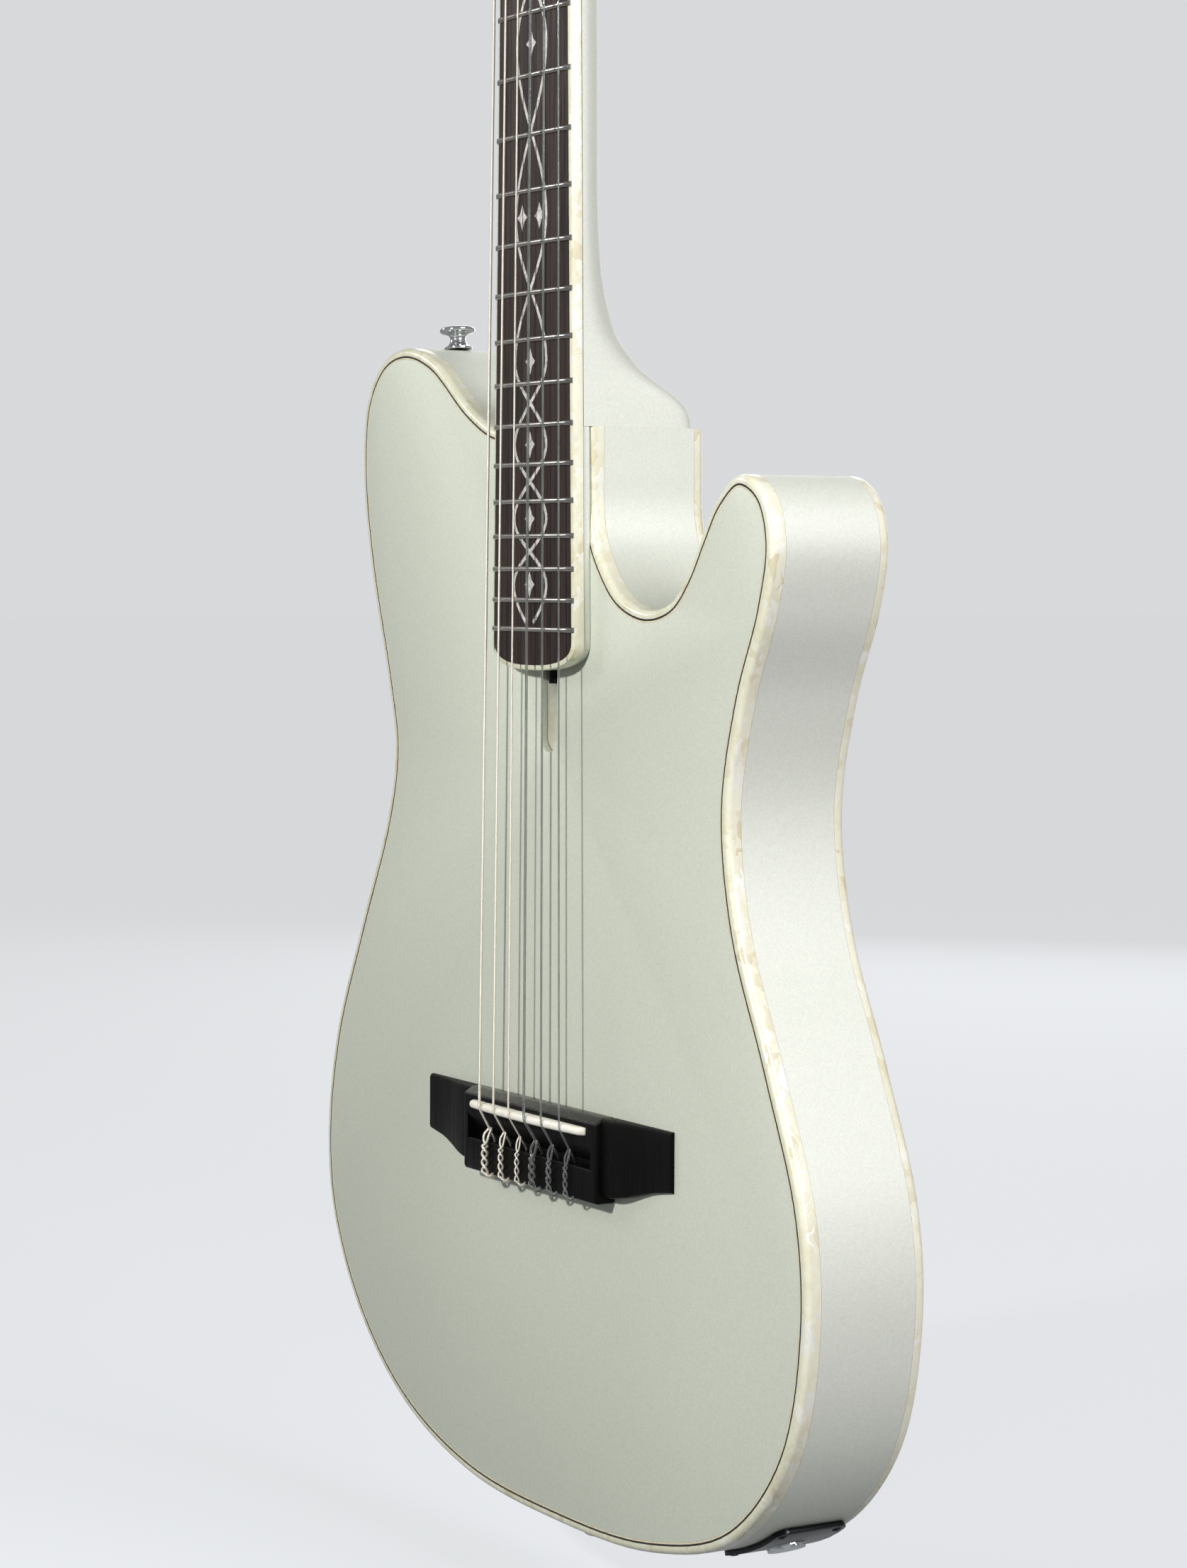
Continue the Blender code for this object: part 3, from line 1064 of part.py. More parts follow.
def make_jack(paints, edge, rim):
    """Curved plate on the lower treble side with the output jack through it."""
    foot, direction, normal = nearest(edge, JACK_SPOT)
    out = Vector((normal.x, 0, normal.y))
    start = Vector((foot.x, JACK_DEPTH, SADDLE_Z + foot.y))
    half = JACK_PLATE_LENGTH / 2
    inside, outside = -GAP, -GAP - JACK_PLATE_THICKNESS
    middle = min(range(len(edge)), key=lambda k: (edge[k] - foot).length)
    walk = [foot]
    for step in (-1, 1):
        length, k, previous = 0.0, middle - step, foot
        while length < half:
            k += step
            chord = edge[k] - previous
            if chord.dot(direction * step) <= 1e-6:
                continue
            share = min(1.0, (half - length) / chord.length)
            previous = previous + chord * share
            length += chord.length * share
            walk.insert(0, previous) if step < 0 else walk.append(previous)
    corner = 0.3 * JACK_PLATE_HALF
    loops = []
    for k, _ in enumerate(walk):
        trim = corner if k in (0, len(walk) - 1) else 0.0
        front, back = JACK_DEPTH - JACK_PLATE_HALF + trim, JACK_DEPTH + JACK_PLATE_HALF - trim
        near, far = offset(walk, inside, False)[k], offset(walk, outside, False)[k]
        loops.append([Vector((p.x, y, SADDLE_Z + p.y)) for p, y in
                      ((near, front), (near, back), (far, back), (far, front))])
    plate = loft("jack_plate", loops, paints["plastic"])
    hole = lathe("jack_hole_cut", [(-0.010, JACK_RADIUS + GAP), (0.008, JACK_RADIUS + GAP)], None,
                 sides=16, along=out, start=start)
    cut(plate, hole)
    cut(rim, hole)
    face = GAP + JACK_PLATE_THICKNESS + GAP
    back = RIM_THICKNESS + 0.0008
    profile = [(-back - JACK_BARREL_LENGTH, JACK_BARREL_RADIUS), (-back, JACK_BARREL_RADIUS),
               (-back, JACK_RADIUS), (face, JACK_RADIUS), (face, JACK_NUT_RADIUS),
               (face + JACK_NUT_HEIGHT, JACK_NUT_RADIUS)]
    jack = lathe("output_jack", profile, paints["chrome"], sides=18, along=out)
    jack.location = start
    bore = lathe("jack_bore_cut", [(2 * GAP - back - JACK_BARREL_LENGTH + 0.001, JACK_BORE_RADIUS),
                                   (face + JACK_NUT_HEIGHT + 0.001, JACK_BORE_RADIUS)], None,
                 sides=14, along=out, start=start)
    cut(jack, bore)
    print("jack", [round(v, 5) for v in start], "axis", [round(v, 5) for v in out])


def main():
    clear_scene()
    paints = make_paints()
    frame = bpy.data.objects.new("head_frame", None)
    bpy.context.collection.objects.link(frame)
    frame.location = HEAD_ORIGIN
    frame.rotation_euler = (-HEAD_TILT, 0.0, 0.0)

    edge, rim, rod_cutter = make_body(paints)
    lining = TOP_THICKNESS + 2 * GAP + LINING_HEIGHT
    make_neck(paints, rod_cutter, (lining, BODY_DEPTH - BACK_THICKNESS - 2 * GAP - LINING_HEIGHT))
    make_board(paints)
    print("truss rod nut", [round(v, 5) for v in make_rod(paints)])
    make_veneer(paints)
    make_bridge(paints)
    make_rollers(paints)
    make_keys(paints)
    make_plates(paints)
    make_strings(paints)
    make_strap_buttons(paints, edge)
    make_controls(paints, edge, rim)
    make_jack(paints, edge, rim)


main()
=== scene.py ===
# %% [markdown]
# # A thin electric nylon-string guitar
# The instrument hangs by its head: +Z runs up the neck, the face looks along -Y
# and the treble side is +X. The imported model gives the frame. Each cell below
# either dresses a piece of it or models a finer one in its place.

# %% Load the frame
import math

import bpy
from mathutils import Matrix, Vector


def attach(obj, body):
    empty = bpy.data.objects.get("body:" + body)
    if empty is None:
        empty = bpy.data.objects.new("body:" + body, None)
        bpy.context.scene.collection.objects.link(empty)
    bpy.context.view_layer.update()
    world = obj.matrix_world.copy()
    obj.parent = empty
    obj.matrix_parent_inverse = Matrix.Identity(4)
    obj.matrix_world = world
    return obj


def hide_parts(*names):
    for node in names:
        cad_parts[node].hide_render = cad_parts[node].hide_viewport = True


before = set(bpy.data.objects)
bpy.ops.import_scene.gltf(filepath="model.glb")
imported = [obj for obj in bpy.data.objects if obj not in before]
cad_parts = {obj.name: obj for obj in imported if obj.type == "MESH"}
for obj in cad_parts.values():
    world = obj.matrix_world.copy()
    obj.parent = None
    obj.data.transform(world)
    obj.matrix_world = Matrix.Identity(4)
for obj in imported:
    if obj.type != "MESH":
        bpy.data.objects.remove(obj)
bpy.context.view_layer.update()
print("nodes in the frame:", len(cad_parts))

# %% [markdown]
# ## The sizes that everything shares
# A guitar is laid out from its scale length, the free length of a string. Frets,
# bridge and body shape all follow from the saddle line, so heights here are
# written as a rise above that line. Lengths are in metres.

# %% Sizes
SCALE_LENGTH = 0.634
FRET_COUNT = 22
NUT_Z = -0.014
NUT_LENGTH = 0.005
SADDLE_Z = NUT_Z - SCALE_LENGTH
HEEL_RISE = 0.2505
HEEL_HALF = 0.0287
BODY_DEPTH = 0.048
NUT_HALF = 0.0222
LAST_FRET_HALF = 0.0298
BOARD_RADIUS = 0.40
BOARD_FACE = -0.0083
BOARD_SEAT = -0.0029
BOARD_OVERHANG = 0.0148
LAST_FRET_RISE = SCALE_LENGTH * 2 ** (-FRET_COUNT / 12)
BOARD_END_RISE = LAST_FRET_RISE - BOARD_OVERHANG
HEAD_TILT = math.radians(12)
HEAD_HALF = 0.036
HEAD_LENGTH = 0.178
HEAD_THICKNESS = 0.017
STRING_RADII = (0.000545, 0.000445, 0.00037, 0.00051, 0.00041, 0.000355)
print("board end above the saddle:", round(BOARD_END_RISE * 1000, 1), "mm")

# %% [markdown]
# ## Camera
# The photograph was taken from the treble side with a long lens. Fret ends,
# saddle and bridge have known places, so the view could be solved from them.

# %% Camera at the photograph's place
VIEW_AZIMUTH = math.radians(59.3225)
VIEW_ELEVATION = math.radians(3.2026)
VIEW_ROLL = math.radians(0.2345)
VIEW_DISTANCE = 1.32127
aim = Vector((0.03193, 0.0, SADDLE_Z + 0.12317))
towards_camera = Vector((math.sin(VIEW_AZIMUTH) * math.cos(VIEW_ELEVATION),
                         -math.cos(VIEW_AZIMUTH) * math.cos(VIEW_ELEVATION),
                         math.sin(VIEW_ELEVATION)))
bpy.ops.object.camera_add(location=aim + towards_camera * VIEW_DISTANCE)
camera = bpy.context.object
right = Vector((math.cos(VIEW_AZIMUTH), math.sin(VIEW_AZIMUTH), 0.0))
up = towards_camera.cross(right)
turned_right = math.cos(VIEW_ROLL) * right + math.sin(VIEW_ROLL) * up
turned_up = math.cos(VIEW_ROLL) * up - math.sin(VIEW_ROLL) * right
camera.rotation_euler = Matrix((turned_right, turned_up, towards_camera)).transposed().to_euler()
camera.data.lens = 85
camera.data.sensor_width = 36
camera.data.clip_start = 0.01
bpy.context.scene.camera = camera
bpy.context.scene.view_settings.view_transform = 'Standard'
print("camera at", [round(v, 3) for v in camera.location])

# %% [markdown]
# ## Studio
# The light is the photograph's: one soft lamp ahead and a little to the treble
# side, high enough to drop short shadows under the strings, and a broad panel
# beyond the treble side that makes the edge of the body shine.

# %% One node at a time
def from_hex(code):
    """sRGB hex to the linear colour that Blender's sockets want."""
    parts = [int(code[i:i + 2], 16) / 255 for i in (1, 3, 5)]
    linear = [p / 12.92 if p <= 0.04045 else ((p + 0.055) / 1.055) ** 2.4 for p in parts]
    return (*linear, 1.0)


def connect(tree, node, **links):
    """Set a node's inputs, named or numbered as _0, to values or to other nodes' outputs."""
    for name, value in links.items():
        spot = node.inputs[int(name[1:])] if name[1:].isdigit() else node.inputs[name.replace("_", " ")]
        if isinstance(value, bpy.types.NodeSocket):
            tree.links.new(value, spot)
        else:
            spot.default_value = value


def add_node(tree, kind, settings=None, **links):
    """Add a node with its settings and its links. Stops are a ramp's (position, hex) pairs."""
    node = tree.nodes.new(kind)
    for name, value in (settings or {}).items():
        if name == "stops":
            elements = node.color_ramp.elements
            while len(elements) < len(value):
                elements.new(0.5)
            for element, (position, code) in zip(elements, value):
                element.position = position
                element.color = from_hex(code)
        else:
            setattr(node, name, value)
    connect(tree, node, **links)
    return node


# %% Lamps
def area_lamp(name, place, target, size, watts):
    bpy.ops.object.light_add(type='AREA', location=place)
    lamp = bpy.context.object
    lamp.name = name
    lamp.rotation_euler = (Vector(target) - Vector(place)).to_track_quat('-Z', 'Y').to_euler()
    lamp.data.size = size
    lamp.data.energy = watts
    return lamp


body_middle = (0.0, 0.0, SADDLE_Z + 0.06)
area_lamp("key lamp", (0.37, -1.17, -0.02), (0.0, 0.0, SADDLE_Z + 0.2), 0.09, 16)
side_panel = area_lamp("side panel", (1.80, 0.30, 0.36), (0.0, 0.0, SADDLE_Z + 0.1), 1.0, 42)
side_panel.data.color = (0.93, 0.90, 1.0)
area_lamp("fill panel", (-1.8, -1.2, 0.4), body_middle, 0.5, 7.5)
area_lamp("back panel", (-1.7, 1.6, 0.1), body_middle, 1.4, 14)
print("lamps:", len(bpy.data.lights))

# %% Floor and room
BODY_FOOT = -0.1492
FLOOR_Z = SADDLE_Z + BODY_FOOT - 0.035
bpy.ops.object.select_all(action='DESELECT')
bpy.ops.mesh.primitive_plane_add(size=60, location=(0, 0, FLOOR_Z))
floor = bpy.context.object
floor.name = "floor"
floor_paint = bpy.data.materials.new("pale floor")
floor_paint.use_nodes = True
floor.data.materials.append(floor_paint)
world = bpy.data.worlds.new("pale room")
bpy.context.scene.world = world
world.use_nodes = True

# The camera sees one pale tone in the room and on the floor. Rays from a mirror or
# bent by a clear string see about a third of it, as in a dim studio.
BACKDROP = from_hex("#EEF0F2")
for tree, seen, lit in ((world.node_tree, 0.63, 0.17), (floor_paint.node_tree, 0.74, 0.0)):
    path = add_node(tree, "ShaderNodeLightPath")
    turned = add_node(tree, "ShaderNodeMath", {"operation": 'MAXIMUM'},
                      _0=path.outputs["Is Glossy Ray"], _1=path.outputs["Is Transmission Ray"])
    any_of = add_node(tree, "ShaderNodeMath", {"operation": 'MULTIPLY_ADD'},
                      _0=turned.outputs[0], _1=0.35, _2=path.outputs["Is Camera Ray"])
    strength = add_node(tree, "ShaderNodeMath", {"operation": 'MULTIPLY_ADD'},
                        _0=any_of.outputs[0], _1=seen, _2=lit)
    if tree is world.node_tree:
        connect(tree, tree.nodes["Background"], Color=BACKDROP, Strength=strength.outputs[0])
    else:
        connect(tree, tree.nodes["Principled BSDF"], Base_Color=from_hex("#6E7072"), Roughness=0.85,
                Specular_IOR_Level=0.1, Emission_Color=BACKDROP, Emission_Strength=strength.outputs[0])
print("floor at", round(FLOOR_Z, 3))

# %% [markdown]
# ## Ways of working
# A few small moves are used again and again: lay a skin over rings of points,
# extrude an outline, drill or carve, and settle a finished piece on its body.

# %% Picking and editing
def deselect_all():
    bpy.ops.object.select_all(action='DESELECT')


def pick(piece):
    """Make a piece the only selected one, and the active one."""
    deselect_all()
    piece.select_set(True)
    bpy.context.view_layer.objects.active = piece


def edit(piece):
    pick(piece)
    bpy.ops.object.mode_set(mode='EDIT')
    bpy.ops.mesh.select_all(action='SELECT')


def leave_edit():
    bpy.ops.object.mode_set(mode='OBJECT')


def tidy_mesh(piece, fill=False):
    """Merge doubles, close open ends if asked, and turn the faces outwards."""
    edit(piece)
    bpy.ops.mesh.remove_doubles(threshold=1e-6)
    if fill:
        bpy.ops.mesh.select_all(action='DESELECT')
        bpy.ops.mesh.select_non_manifold()
        bpy.ops.mesh.fill_holes(sides=0)
    bpy.ops.mesh.select_all(action='SELECT')
    bpy.ops.mesh.normals_make_consistent(inside=False)
    leave_edit()


def apply_place(piece):
    pick(piece)
    bpy.ops.object.transform_apply(location=True, rotation=True, scale=True)


def discard(*pieces):
    for piece in pieces:
        bpy.data.objects.remove(piece, do_unlink=True)


# %% Making shapes from points
def laid_on(name, points):
    """Name the newest primitive and lay its vertices on the points."""
    piece = bpy.context.object
    piece.name = name
    for vertex, point in zip(piece.data.vertices, points, strict=True):
        vertex.co = point
    return piece


def grid_on(name, rows):
    """A grid whose vertices lie on rows of points."""
    deselect_all()
    bpy.ops.mesh.primitive_grid_add(x_subdivisions=len(rows[0]) - 1, y_subdivisions=len(rows) - 1, size=1)
    return laid_on(name, [point for row in rows for point in row])


def tube_on(name, rings):
    """A skin over rings of points, with both ends filled."""
    piece = grid_on(name, [[*ring, ring[0]] for ring in rings])
    tidy_mesh(piece, fill=True)
    return piece


def disc_on(name, outline):
    """A flat face whose corners lie on an outline of points."""
    deselect_all()
    bpy.ops.mesh.primitive_circle_add(vertices=len(outline), fill_type='NGON', radius=1)
    return laid_on(name, outline)


def prism(name, outline, step):
    """A flat face on an outline, extruded by a step and closed."""
    piece = disc_on(name, outline)
    edit(piece)
    bpy.ops.mesh.extrude_region_move(TRANSFORM_OT_translate={"value": tuple(step)})
    bpy.ops.mesh.select_all(action='SELECT')
    bpy.ops.mesh.normals_make_consistent(inside=False)
    leave_edit()
    return piece


def block(name, centre, size, turn=0.0):
    deselect_all()
    bpy.ops.mesh.primitive_cube_add(size=1, location=centre, rotation=(0, 0, turn), scale=size)
    piece = bpy.context.object
    piece.name = name
    apply_place(piece)
    return piece


def on_lathe(name, section, steps=32):
    """Spin a closed half section of (height, radius) points round the Z axis."""
    piece = disc_on(name, [Vector((radius, 0.0, height)) for height, radius in section])
    edit(piece)
    bpy.ops.mesh.delete(type='ONLY_FACE')
    bpy.ops.mesh.select_all(action='SELECT')
    bpy.ops.mesh.spin(steps=steps, angle=math.tau, center=(0, 0, 0), axis=(0, 0, 1))
    bpy.ops.mesh.select_all(action='SELECT')
    bpy.ops.mesh.remove_doubles(threshold=2e-6)
    bpy.ops.mesh.dissolve_degenerate(threshold=1e-6)
    leave_edit()
    tidy_mesh(piece)
    return piece


# %% Working on shapes
def apply_modifiers(piece):
    pick(piece)
    for modifier in list(piece.modifiers):
        bpy.ops.object.modifier_apply(modifier=modifier.name)


def soften(piece, width, segments, angle):
    """Round the sharp edges, as sanding or polishing does."""
    bevel = piece.modifiers.new("rounded edges", 'BEVEL')
    bevel.width = width
    bevel.segments = segments
    bevel.limit_method = 'ANGLE'
    bevel.angle_limit = math.radians(angle)
    apply_modifiers(piece)


def carve(piece, tool, operation='DIFFERENCE'):
    """Cut a tool out of a piece, or join it on, and throw the tool away."""
    step = piece.modifiers.new("carve", 'BOOLEAN')
    step.operation = operation
    step.solver = 'EXACT'
    step.object = tool
    apply_modifiers(piece)
    discard(tool)


def drill(piece, centre, radius, depth, sides=20, lying=(0, 0, 0)):
    """Cut a round hole, upright unless it is laid over."""
    deselect_all()
    bpy.ops.mesh.primitive_cylinder_add(vertices=sides, radius=radius, depth=depth, location=centre,
                                        rotation=lying)
    bit = bpy.context.object
    apply_place(bit)
    carve(piece, bit)


def copy_of(piece, name, move):
    """A copy with a mesh of its own, moved by a matrix."""
    twin = piece.copy()
    twin.data = piece.data.copy()
    twin.name = name
    bpy.context.collection.objects.link(twin)
    twin.data.transform(move)
    if move.determinant() < 0:
        tidy_mesh(twin)
    return twin


def facing(place, out):
    """The matrix that stands a piece made along +Z at a place, pointing out."""
    return Matrix.Translation(place) @ Vector(out).to_track_quat('Z', 'Y').to_matrix().to_4x4()


def join_pieces(name, pieces):
    deselect_all()
    for piece in pieces:
        piece.select_set(True)
    bpy.context.view_layer.objects.active = pieces[0]
    bpy.ops.object.join()
    pieces[0].name = name
    return pieces[0]


def settle(piece, body, finish, stands_for=(), angle=32):
    """Give a finished piece its look, its body and the nodes that it stands for."""
    pick(piece)
    bpy.ops.object.shade_smooth_by_angle(angle=math.radians(angle))
    piece.data.materials.clear()
    piece.data.materials.append(finish)
    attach(piece, body)
    if stands_for:
        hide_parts(*stands_for)
    print(piece.name, len(piece.data.polygons), "faces")


# %% [markdown]
# ## Finishes
# Every finish starts from what the real one is. The body wears a satin pearl
# lacquer: pale grey-green with a very fine metallic sparkle that turns almost
# white where it faces a lamp. The edging is pearloid, a celluloid sheet in which
# flakes of fish-scale essence are stirred, sliced and laid side by side.

# %% Starting a material
def new_finish(name, **sockets):
    """A material, its node tree, its shader and the object's own coordinates in metres."""
    finish = bpy.data.materials.new(name)
    finish.use_nodes = True
    tree = finish.node_tree
    shader = tree.nodes["Principled BSDF"]
    connect(tree, shader, **sockets)
    return finish, tree, shader, add_node(tree, "ShaderNodeTexCoord").outputs["Object"]


def mottled(name, scale, stops, cloudiness, drawn_out=None, **sockets):
    """A finish whose colour drifts in clouds, drawn out along the neck if asked."""
    finish, tree, shader, place = new_finish(name, **sockets)
    if drawn_out:
        place = add_node(tree, "ShaderNodeMapping", Vector=place, Scale=(1, 1, drawn_out)).outputs[0]
    cloud = add_node(tree, "ShaderNodeTexNoise", Vector=place, Scale=scale, **cloudiness)
    tone = add_node(tree, "ShaderNodeValToRGB", {"stops": stops}, Fac=cloud.outputs[0])
    connect(tree, shader, Base_Color=tone.outputs[0])
    return finish


# %% Satin pearl lacquer
# Sprayed in thin coats and rubbed to satin. Mica flakes of 0.05 mm are drawn at
# 0.5 mm so that they show, and the spray leaves waves about 3 mm long.
lacquer, tree, shader, place = new_finish("satin pearl lacquer", Metallic=0.12, IOR=1.5)
mica = add_node(tree, "ShaderNodeTexVoronoi", Vector=place, Scale=1900.0)
sparkle = add_node(tree, "ShaderNodeSeparateColor", Color=mica.outputs["Color"])
drift = add_node(tree, "ShaderNodeTexNoise", Vector=place, Scale=6.0, Detail=2.0)
tint = add_node(tree, "ShaderNodeValToRGB", {"stops": ((0.3, "#C9CDBD"), (0.7, "#CED2C2"))},
                Fac=drift.outputs[0])
glitter = add_node(tree, "ShaderNodeMapRange", _0=sparkle.outputs[0], _3=0.95, _4=1.05)
speckled = add_node(tree, "ShaderNodeMix", {"data_type": 'RGBA', "blend_type": 'MULTIPLY'}, _0=1.0,
                    _6=tint.outputs[0], _7=glitter.outputs[0])
satin = add_node(tree, "ShaderNodeMapRange", _0=sparkle.outputs[1], _3=0.45, _4=0.55)
spray = add_node(tree, "ShaderNodeTexNoise", Vector=place, Scale=330.0, Detail=1.0)
waves = add_node(tree, "ShaderNodeBump", Height=spray.outputs[0], Distance=0.00003, Strength=0.15)
connect(tree, shader, Base_Color=speckled.outputs[2], Roughness=satin.outputs[0], Normal=waves.outputs[0])

# %% Slot lacquer painted lighter
# The slot's lacquer is painted lighter and warmer than the body's, as painted light that lifts the shade in
# the recess: matt, cloudy over 4 mm.
slot_lacquer_painted_light = mottled("slot lacquer painted lighter", 260.0, ((0.3, "#D3D2C2"), (0.7, "#E4E4D7")), {"Detail": 3.0},
                    Roughness=0.7, IOR=1.5)

# %% Pearloid celluloid
# Cream celluloid with a soft cloud 8 mm across, and slivers of foil 3 mm long lying
# at odd angles in it: one in eight is painted near-white as a painted glint and made metallic, and one in
# eight looks tan.
pearloid, tree, shader, place = new_finish("pearloid celluloid", IOR=1.5, Coat_Weight=0.25,
                                           Coat_Roughness=0.08)
leaning = add_node(tree, "ShaderNodeMapping", Vector=place, Scale=(1, 1, 0.45), Rotation=(0.5, 0.8, 0.3))
warp = add_node(tree, "ShaderNodeTexNoise", Vector=place, Scale=120.0, Detail=2.0)
bent = add_node(tree, "ShaderNodeMix", {"data_type": 'VECTOR'}, _0=0.012, _4=leaning.outputs[0],
                _5=warp.outputs["Color"]).outputs[1]
silk = add_node(tree, "ShaderNodeTexNoise", Vector=bent, Scale=130.0, Detail=4.0, Distortion=1.0)
CREAM = ((0.30, "#CAC5A3"), (0.45, "#D3D1B6"), (0.60, "#D8D8C0"), (0.72, "#E0E1CE"))
cream = add_node(tree, "ShaderNodeValToRGB", {"stops": CREAM}, Fac=silk.outputs[0])
FOIL_SCALE = 330.0
sliver = add_node(tree, "ShaderNodeTexVoronoi", Vector=bent, Scale=FOIL_SCALE)
tone = add_node(tree, "ShaderNodeSeparateColor", Color=sliver.outputs["Color"])
# The highest stop paints one sliver in eight near-white: a painted glint.
FOIL_AND_PAINTED_GLINT = ((0.0, "#C0B38A"), (0.12, "#D2CEB0"), (0.5, "#D8D7BD"), (0.86, "#DCDCC4"), (0.90, "#EEEDE4"))
foil_and_painted_glint = add_node(tree, "ShaderNodeValToRGB", {"stops": FOIL_AND_PAINTED_GLINT}, Fac=tone.outputs[0])
blended = add_node(tree, "ShaderNodeMix", {"data_type": 'RGBA'}, _0=0.55, _6=cream.outputs[0],
                   _7=foil_and_painted_glint.outputs[0])
gloss = add_node(tree, "ShaderNodeMapRange", _0=tone.outputs[1], _3=0.20, _4=0.38)
glint = add_node(tree, "ShaderNodeMapRange", _0=tone.outputs[0], _1=0.86, _3=0.0, _4=0.3)
gap = add_node(tree, "ShaderNodeTexVoronoi", {"feature": 'DISTANCE_TO_EDGE'}, Vector=bent, Scale=FOIL_SCALE)
seam = add_node(tree, "ShaderNodeMapRange", _0=gap.outputs[0], _2=0.10)
ripple = add_node(tree, "ShaderNodeBump", Height=seam.outputs[0], Distance=0.00006, Strength=0.3)
connect(tree, shader, Base_Color=blended.outputs[2], Roughness=gloss.outputs[0], Metallic=glint.outputs[0],
        Normal=ripple.outputs[0])

# %% Black fibre and maple lines
# Fibre is dyed paper with a 1 mm grit, maple is shaved wood with fibres about
# 1.5 mm apart. Both are filled and lacquered flush.
black_fibre = mottled("black fibre", 900.0, ((0.3, "#0E0D0C"), (0.7, "#1A1817")), {}, Roughness=0.45)
maple_line = mottled("shaved maple line", 700.0, ((0.3, "#C9BFA0"), (0.7, "#E2DABF")), {}, 0.1, Roughness=0.4)


# %% Dark rosewood and ebony
# Quartersawn: darker growth lines run with the board, 1 to 2 mm apart, and pores
# 0.4 mm wide and 8 mm long lie open between them under a wipe of oil.
def dark_wood(name, ground, line, pore, roughness, polish, grain_scale=1.0):
    finish, tree, shader, place = new_finish(name, Specular_IOR_Level=polish)
    slow = add_node(tree, "ShaderNodeMapping", Vector=place, Scale=(8, 8, 1.2))
    sway = add_node(tree, "ShaderNodeTexNoise", Vector=slow.outputs[0], Scale=4.0, Detail=2.0)
    drawn = add_node(tree, "ShaderNodeMapping", Vector=place, Scale=(1, 1, 0.02))
    swayed = add_node(tree, "ShaderNodeMix", {"data_type": 'VECTOR'}, _0=0.010, _4=drawn.outputs[0],
                      _5=sway.outputs["Color"])
    growth = add_node(tree, "ShaderNodeTexNoise", Vector=swayed.outputs[1], Scale=520.0 * grain_scale,
                      Detail=3.0)
    streak = add_node(tree, "ShaderNodeValToRGB", {"stops": ((0.36, line), (0.52, ground), (0.75, ground))},
                      Fac=growth.outputs[0])
    long_way = add_node(tree, "ShaderNodeMapping", Vector=place, Scale=(1, 1, 0.05))
    slots = add_node(tree, "ShaderNodeTexNoise", Vector=long_way.outputs[0], Scale=2600.0 * grain_scale)
    pores = add_node(tree, "ShaderNodeMapRange", _0=slots.outputs[0], _1=0.60, _2=0.66)
    pored = add_node(tree, "ShaderNodeMix", {"data_type": 'RGBA'}, _0=pores.outputs[0],
                     _6=streak.outputs[0], _7=from_hex(pore))
    sheen = add_node(tree, "ShaderNodeMapRange", _0=growth.outputs[0], _1=0.3, _2=0.7,
                     _3=roughness + 0.08, _4=roughness - 0.05)
    sunk = add_node(tree, "ShaderNodeBump", {"invert": True}, Height=pores.outputs[0], Distance=0.00008,
                    Strength=0.5)
    connect(tree, shader, Base_Color=pored.outputs[2], Roughness=sheen.outputs[0], Normal=sunk.outputs[0])
    return finish


rosewood = dark_wood("oiled rosewood", "#30231E", "#17100D", "#0D0807", 0.48, 0.25)
ebony = dark_wood("oiled ebony", "#0A0908", "#060504", "#030202", 0.42, 0.08, 1.3)
# A lighter, glossier ebony for the bridge's upper slope: its lighter colour is a painted reflection.
ebony_with_painted_sheen = dark_wood("ebony with painted sheen", "#24231F", "#191815", "#0C0B0A", 0.24, 0.5, 1.3)

# %% Plain inner wood
# Sanded and left bare: soft growth lines 3 mm apart, and no gloss.
inner_wood = mottled("bare sanded cedar", 300.0, ((0.3, "#8A5E3B"), (0.7, "#B98B5E")), {"Detail": 2.0}, 0.05,
                     Roughness=0.7)


# %% Metals
# Plating keeps polishing lines under a millimetre wide, and handling leaves
# smudges about 15 mm across, so neither gloss nor colour is ever quite even.
def plated(name, code, worn, roughness, spread=0.06):
    finish, tree, shader, place = new_finish(name, Metallic=1.0)
    brushed = add_node(tree, "ShaderNodeMapping", Vector=place, Scale=(1, 1, 6))
    haze = add_node(tree, "ShaderNodeTexNoise", Vector=brushed.outputs[0], Scale=1500.0, Detail=2.0)
    gloss = add_node(tree, "ShaderNodeMapRange", _0=haze.outputs[0], _1=0.3, _2=0.7,
                     _3=roughness - spread, _4=roughness + spread)
    smudge = add_node(tree, "ShaderNodeTexNoise", Vector=place, Scale=60.0, Detail=1.0)
    tone = add_node(tree, "ShaderNodeValToRGB", {"stops": ((0.35, code), (0.65, worn))},
                    Fac=smudge.outputs[0])
    connect(tree, shader, Base_Color=tone.outputs[0], Roughness=gloss.outputs[0])
    return finish


chrome = plated("bright chrome plating", "#D2D4D6", "#C8CACC", 0.10, 0.04)
nickel_silver = plated("nickel silver fret wire", "#B4B1AA", "#A5A29B", 0.20)
dark_plating = plated("black chrome plating", "#2C2D2F", "#242527", 0.24)
plain_steel = plated("turned steel", "#9C9EA1", "#929497", 0.36)
# Near-black steel for the truss rod and its nut: the nut's darkness stands for the shadow at the top of the
# slot, a painted shade.
steel_darkened_as_shade = plated("steel darkened as painted shade", "#1C1C1C", "#161616", 0.45)
brass = plated("turned brass", "#CDB27C", "#C0A46D", 0.25)

# %% Bone, plastics and mother of pearl
# Bone is cut, sanded and buffed: warm white, with clouds about 4 mm across.
bone = mottled("polished bone", 240.0, ((0.3, "#E6E0CF"), (0.7, "#F4F1E6")), {"Detail": 3.0},
               Roughness=0.33, Subsurface_Weight=0.08, Subsurface_Scale=0.001)

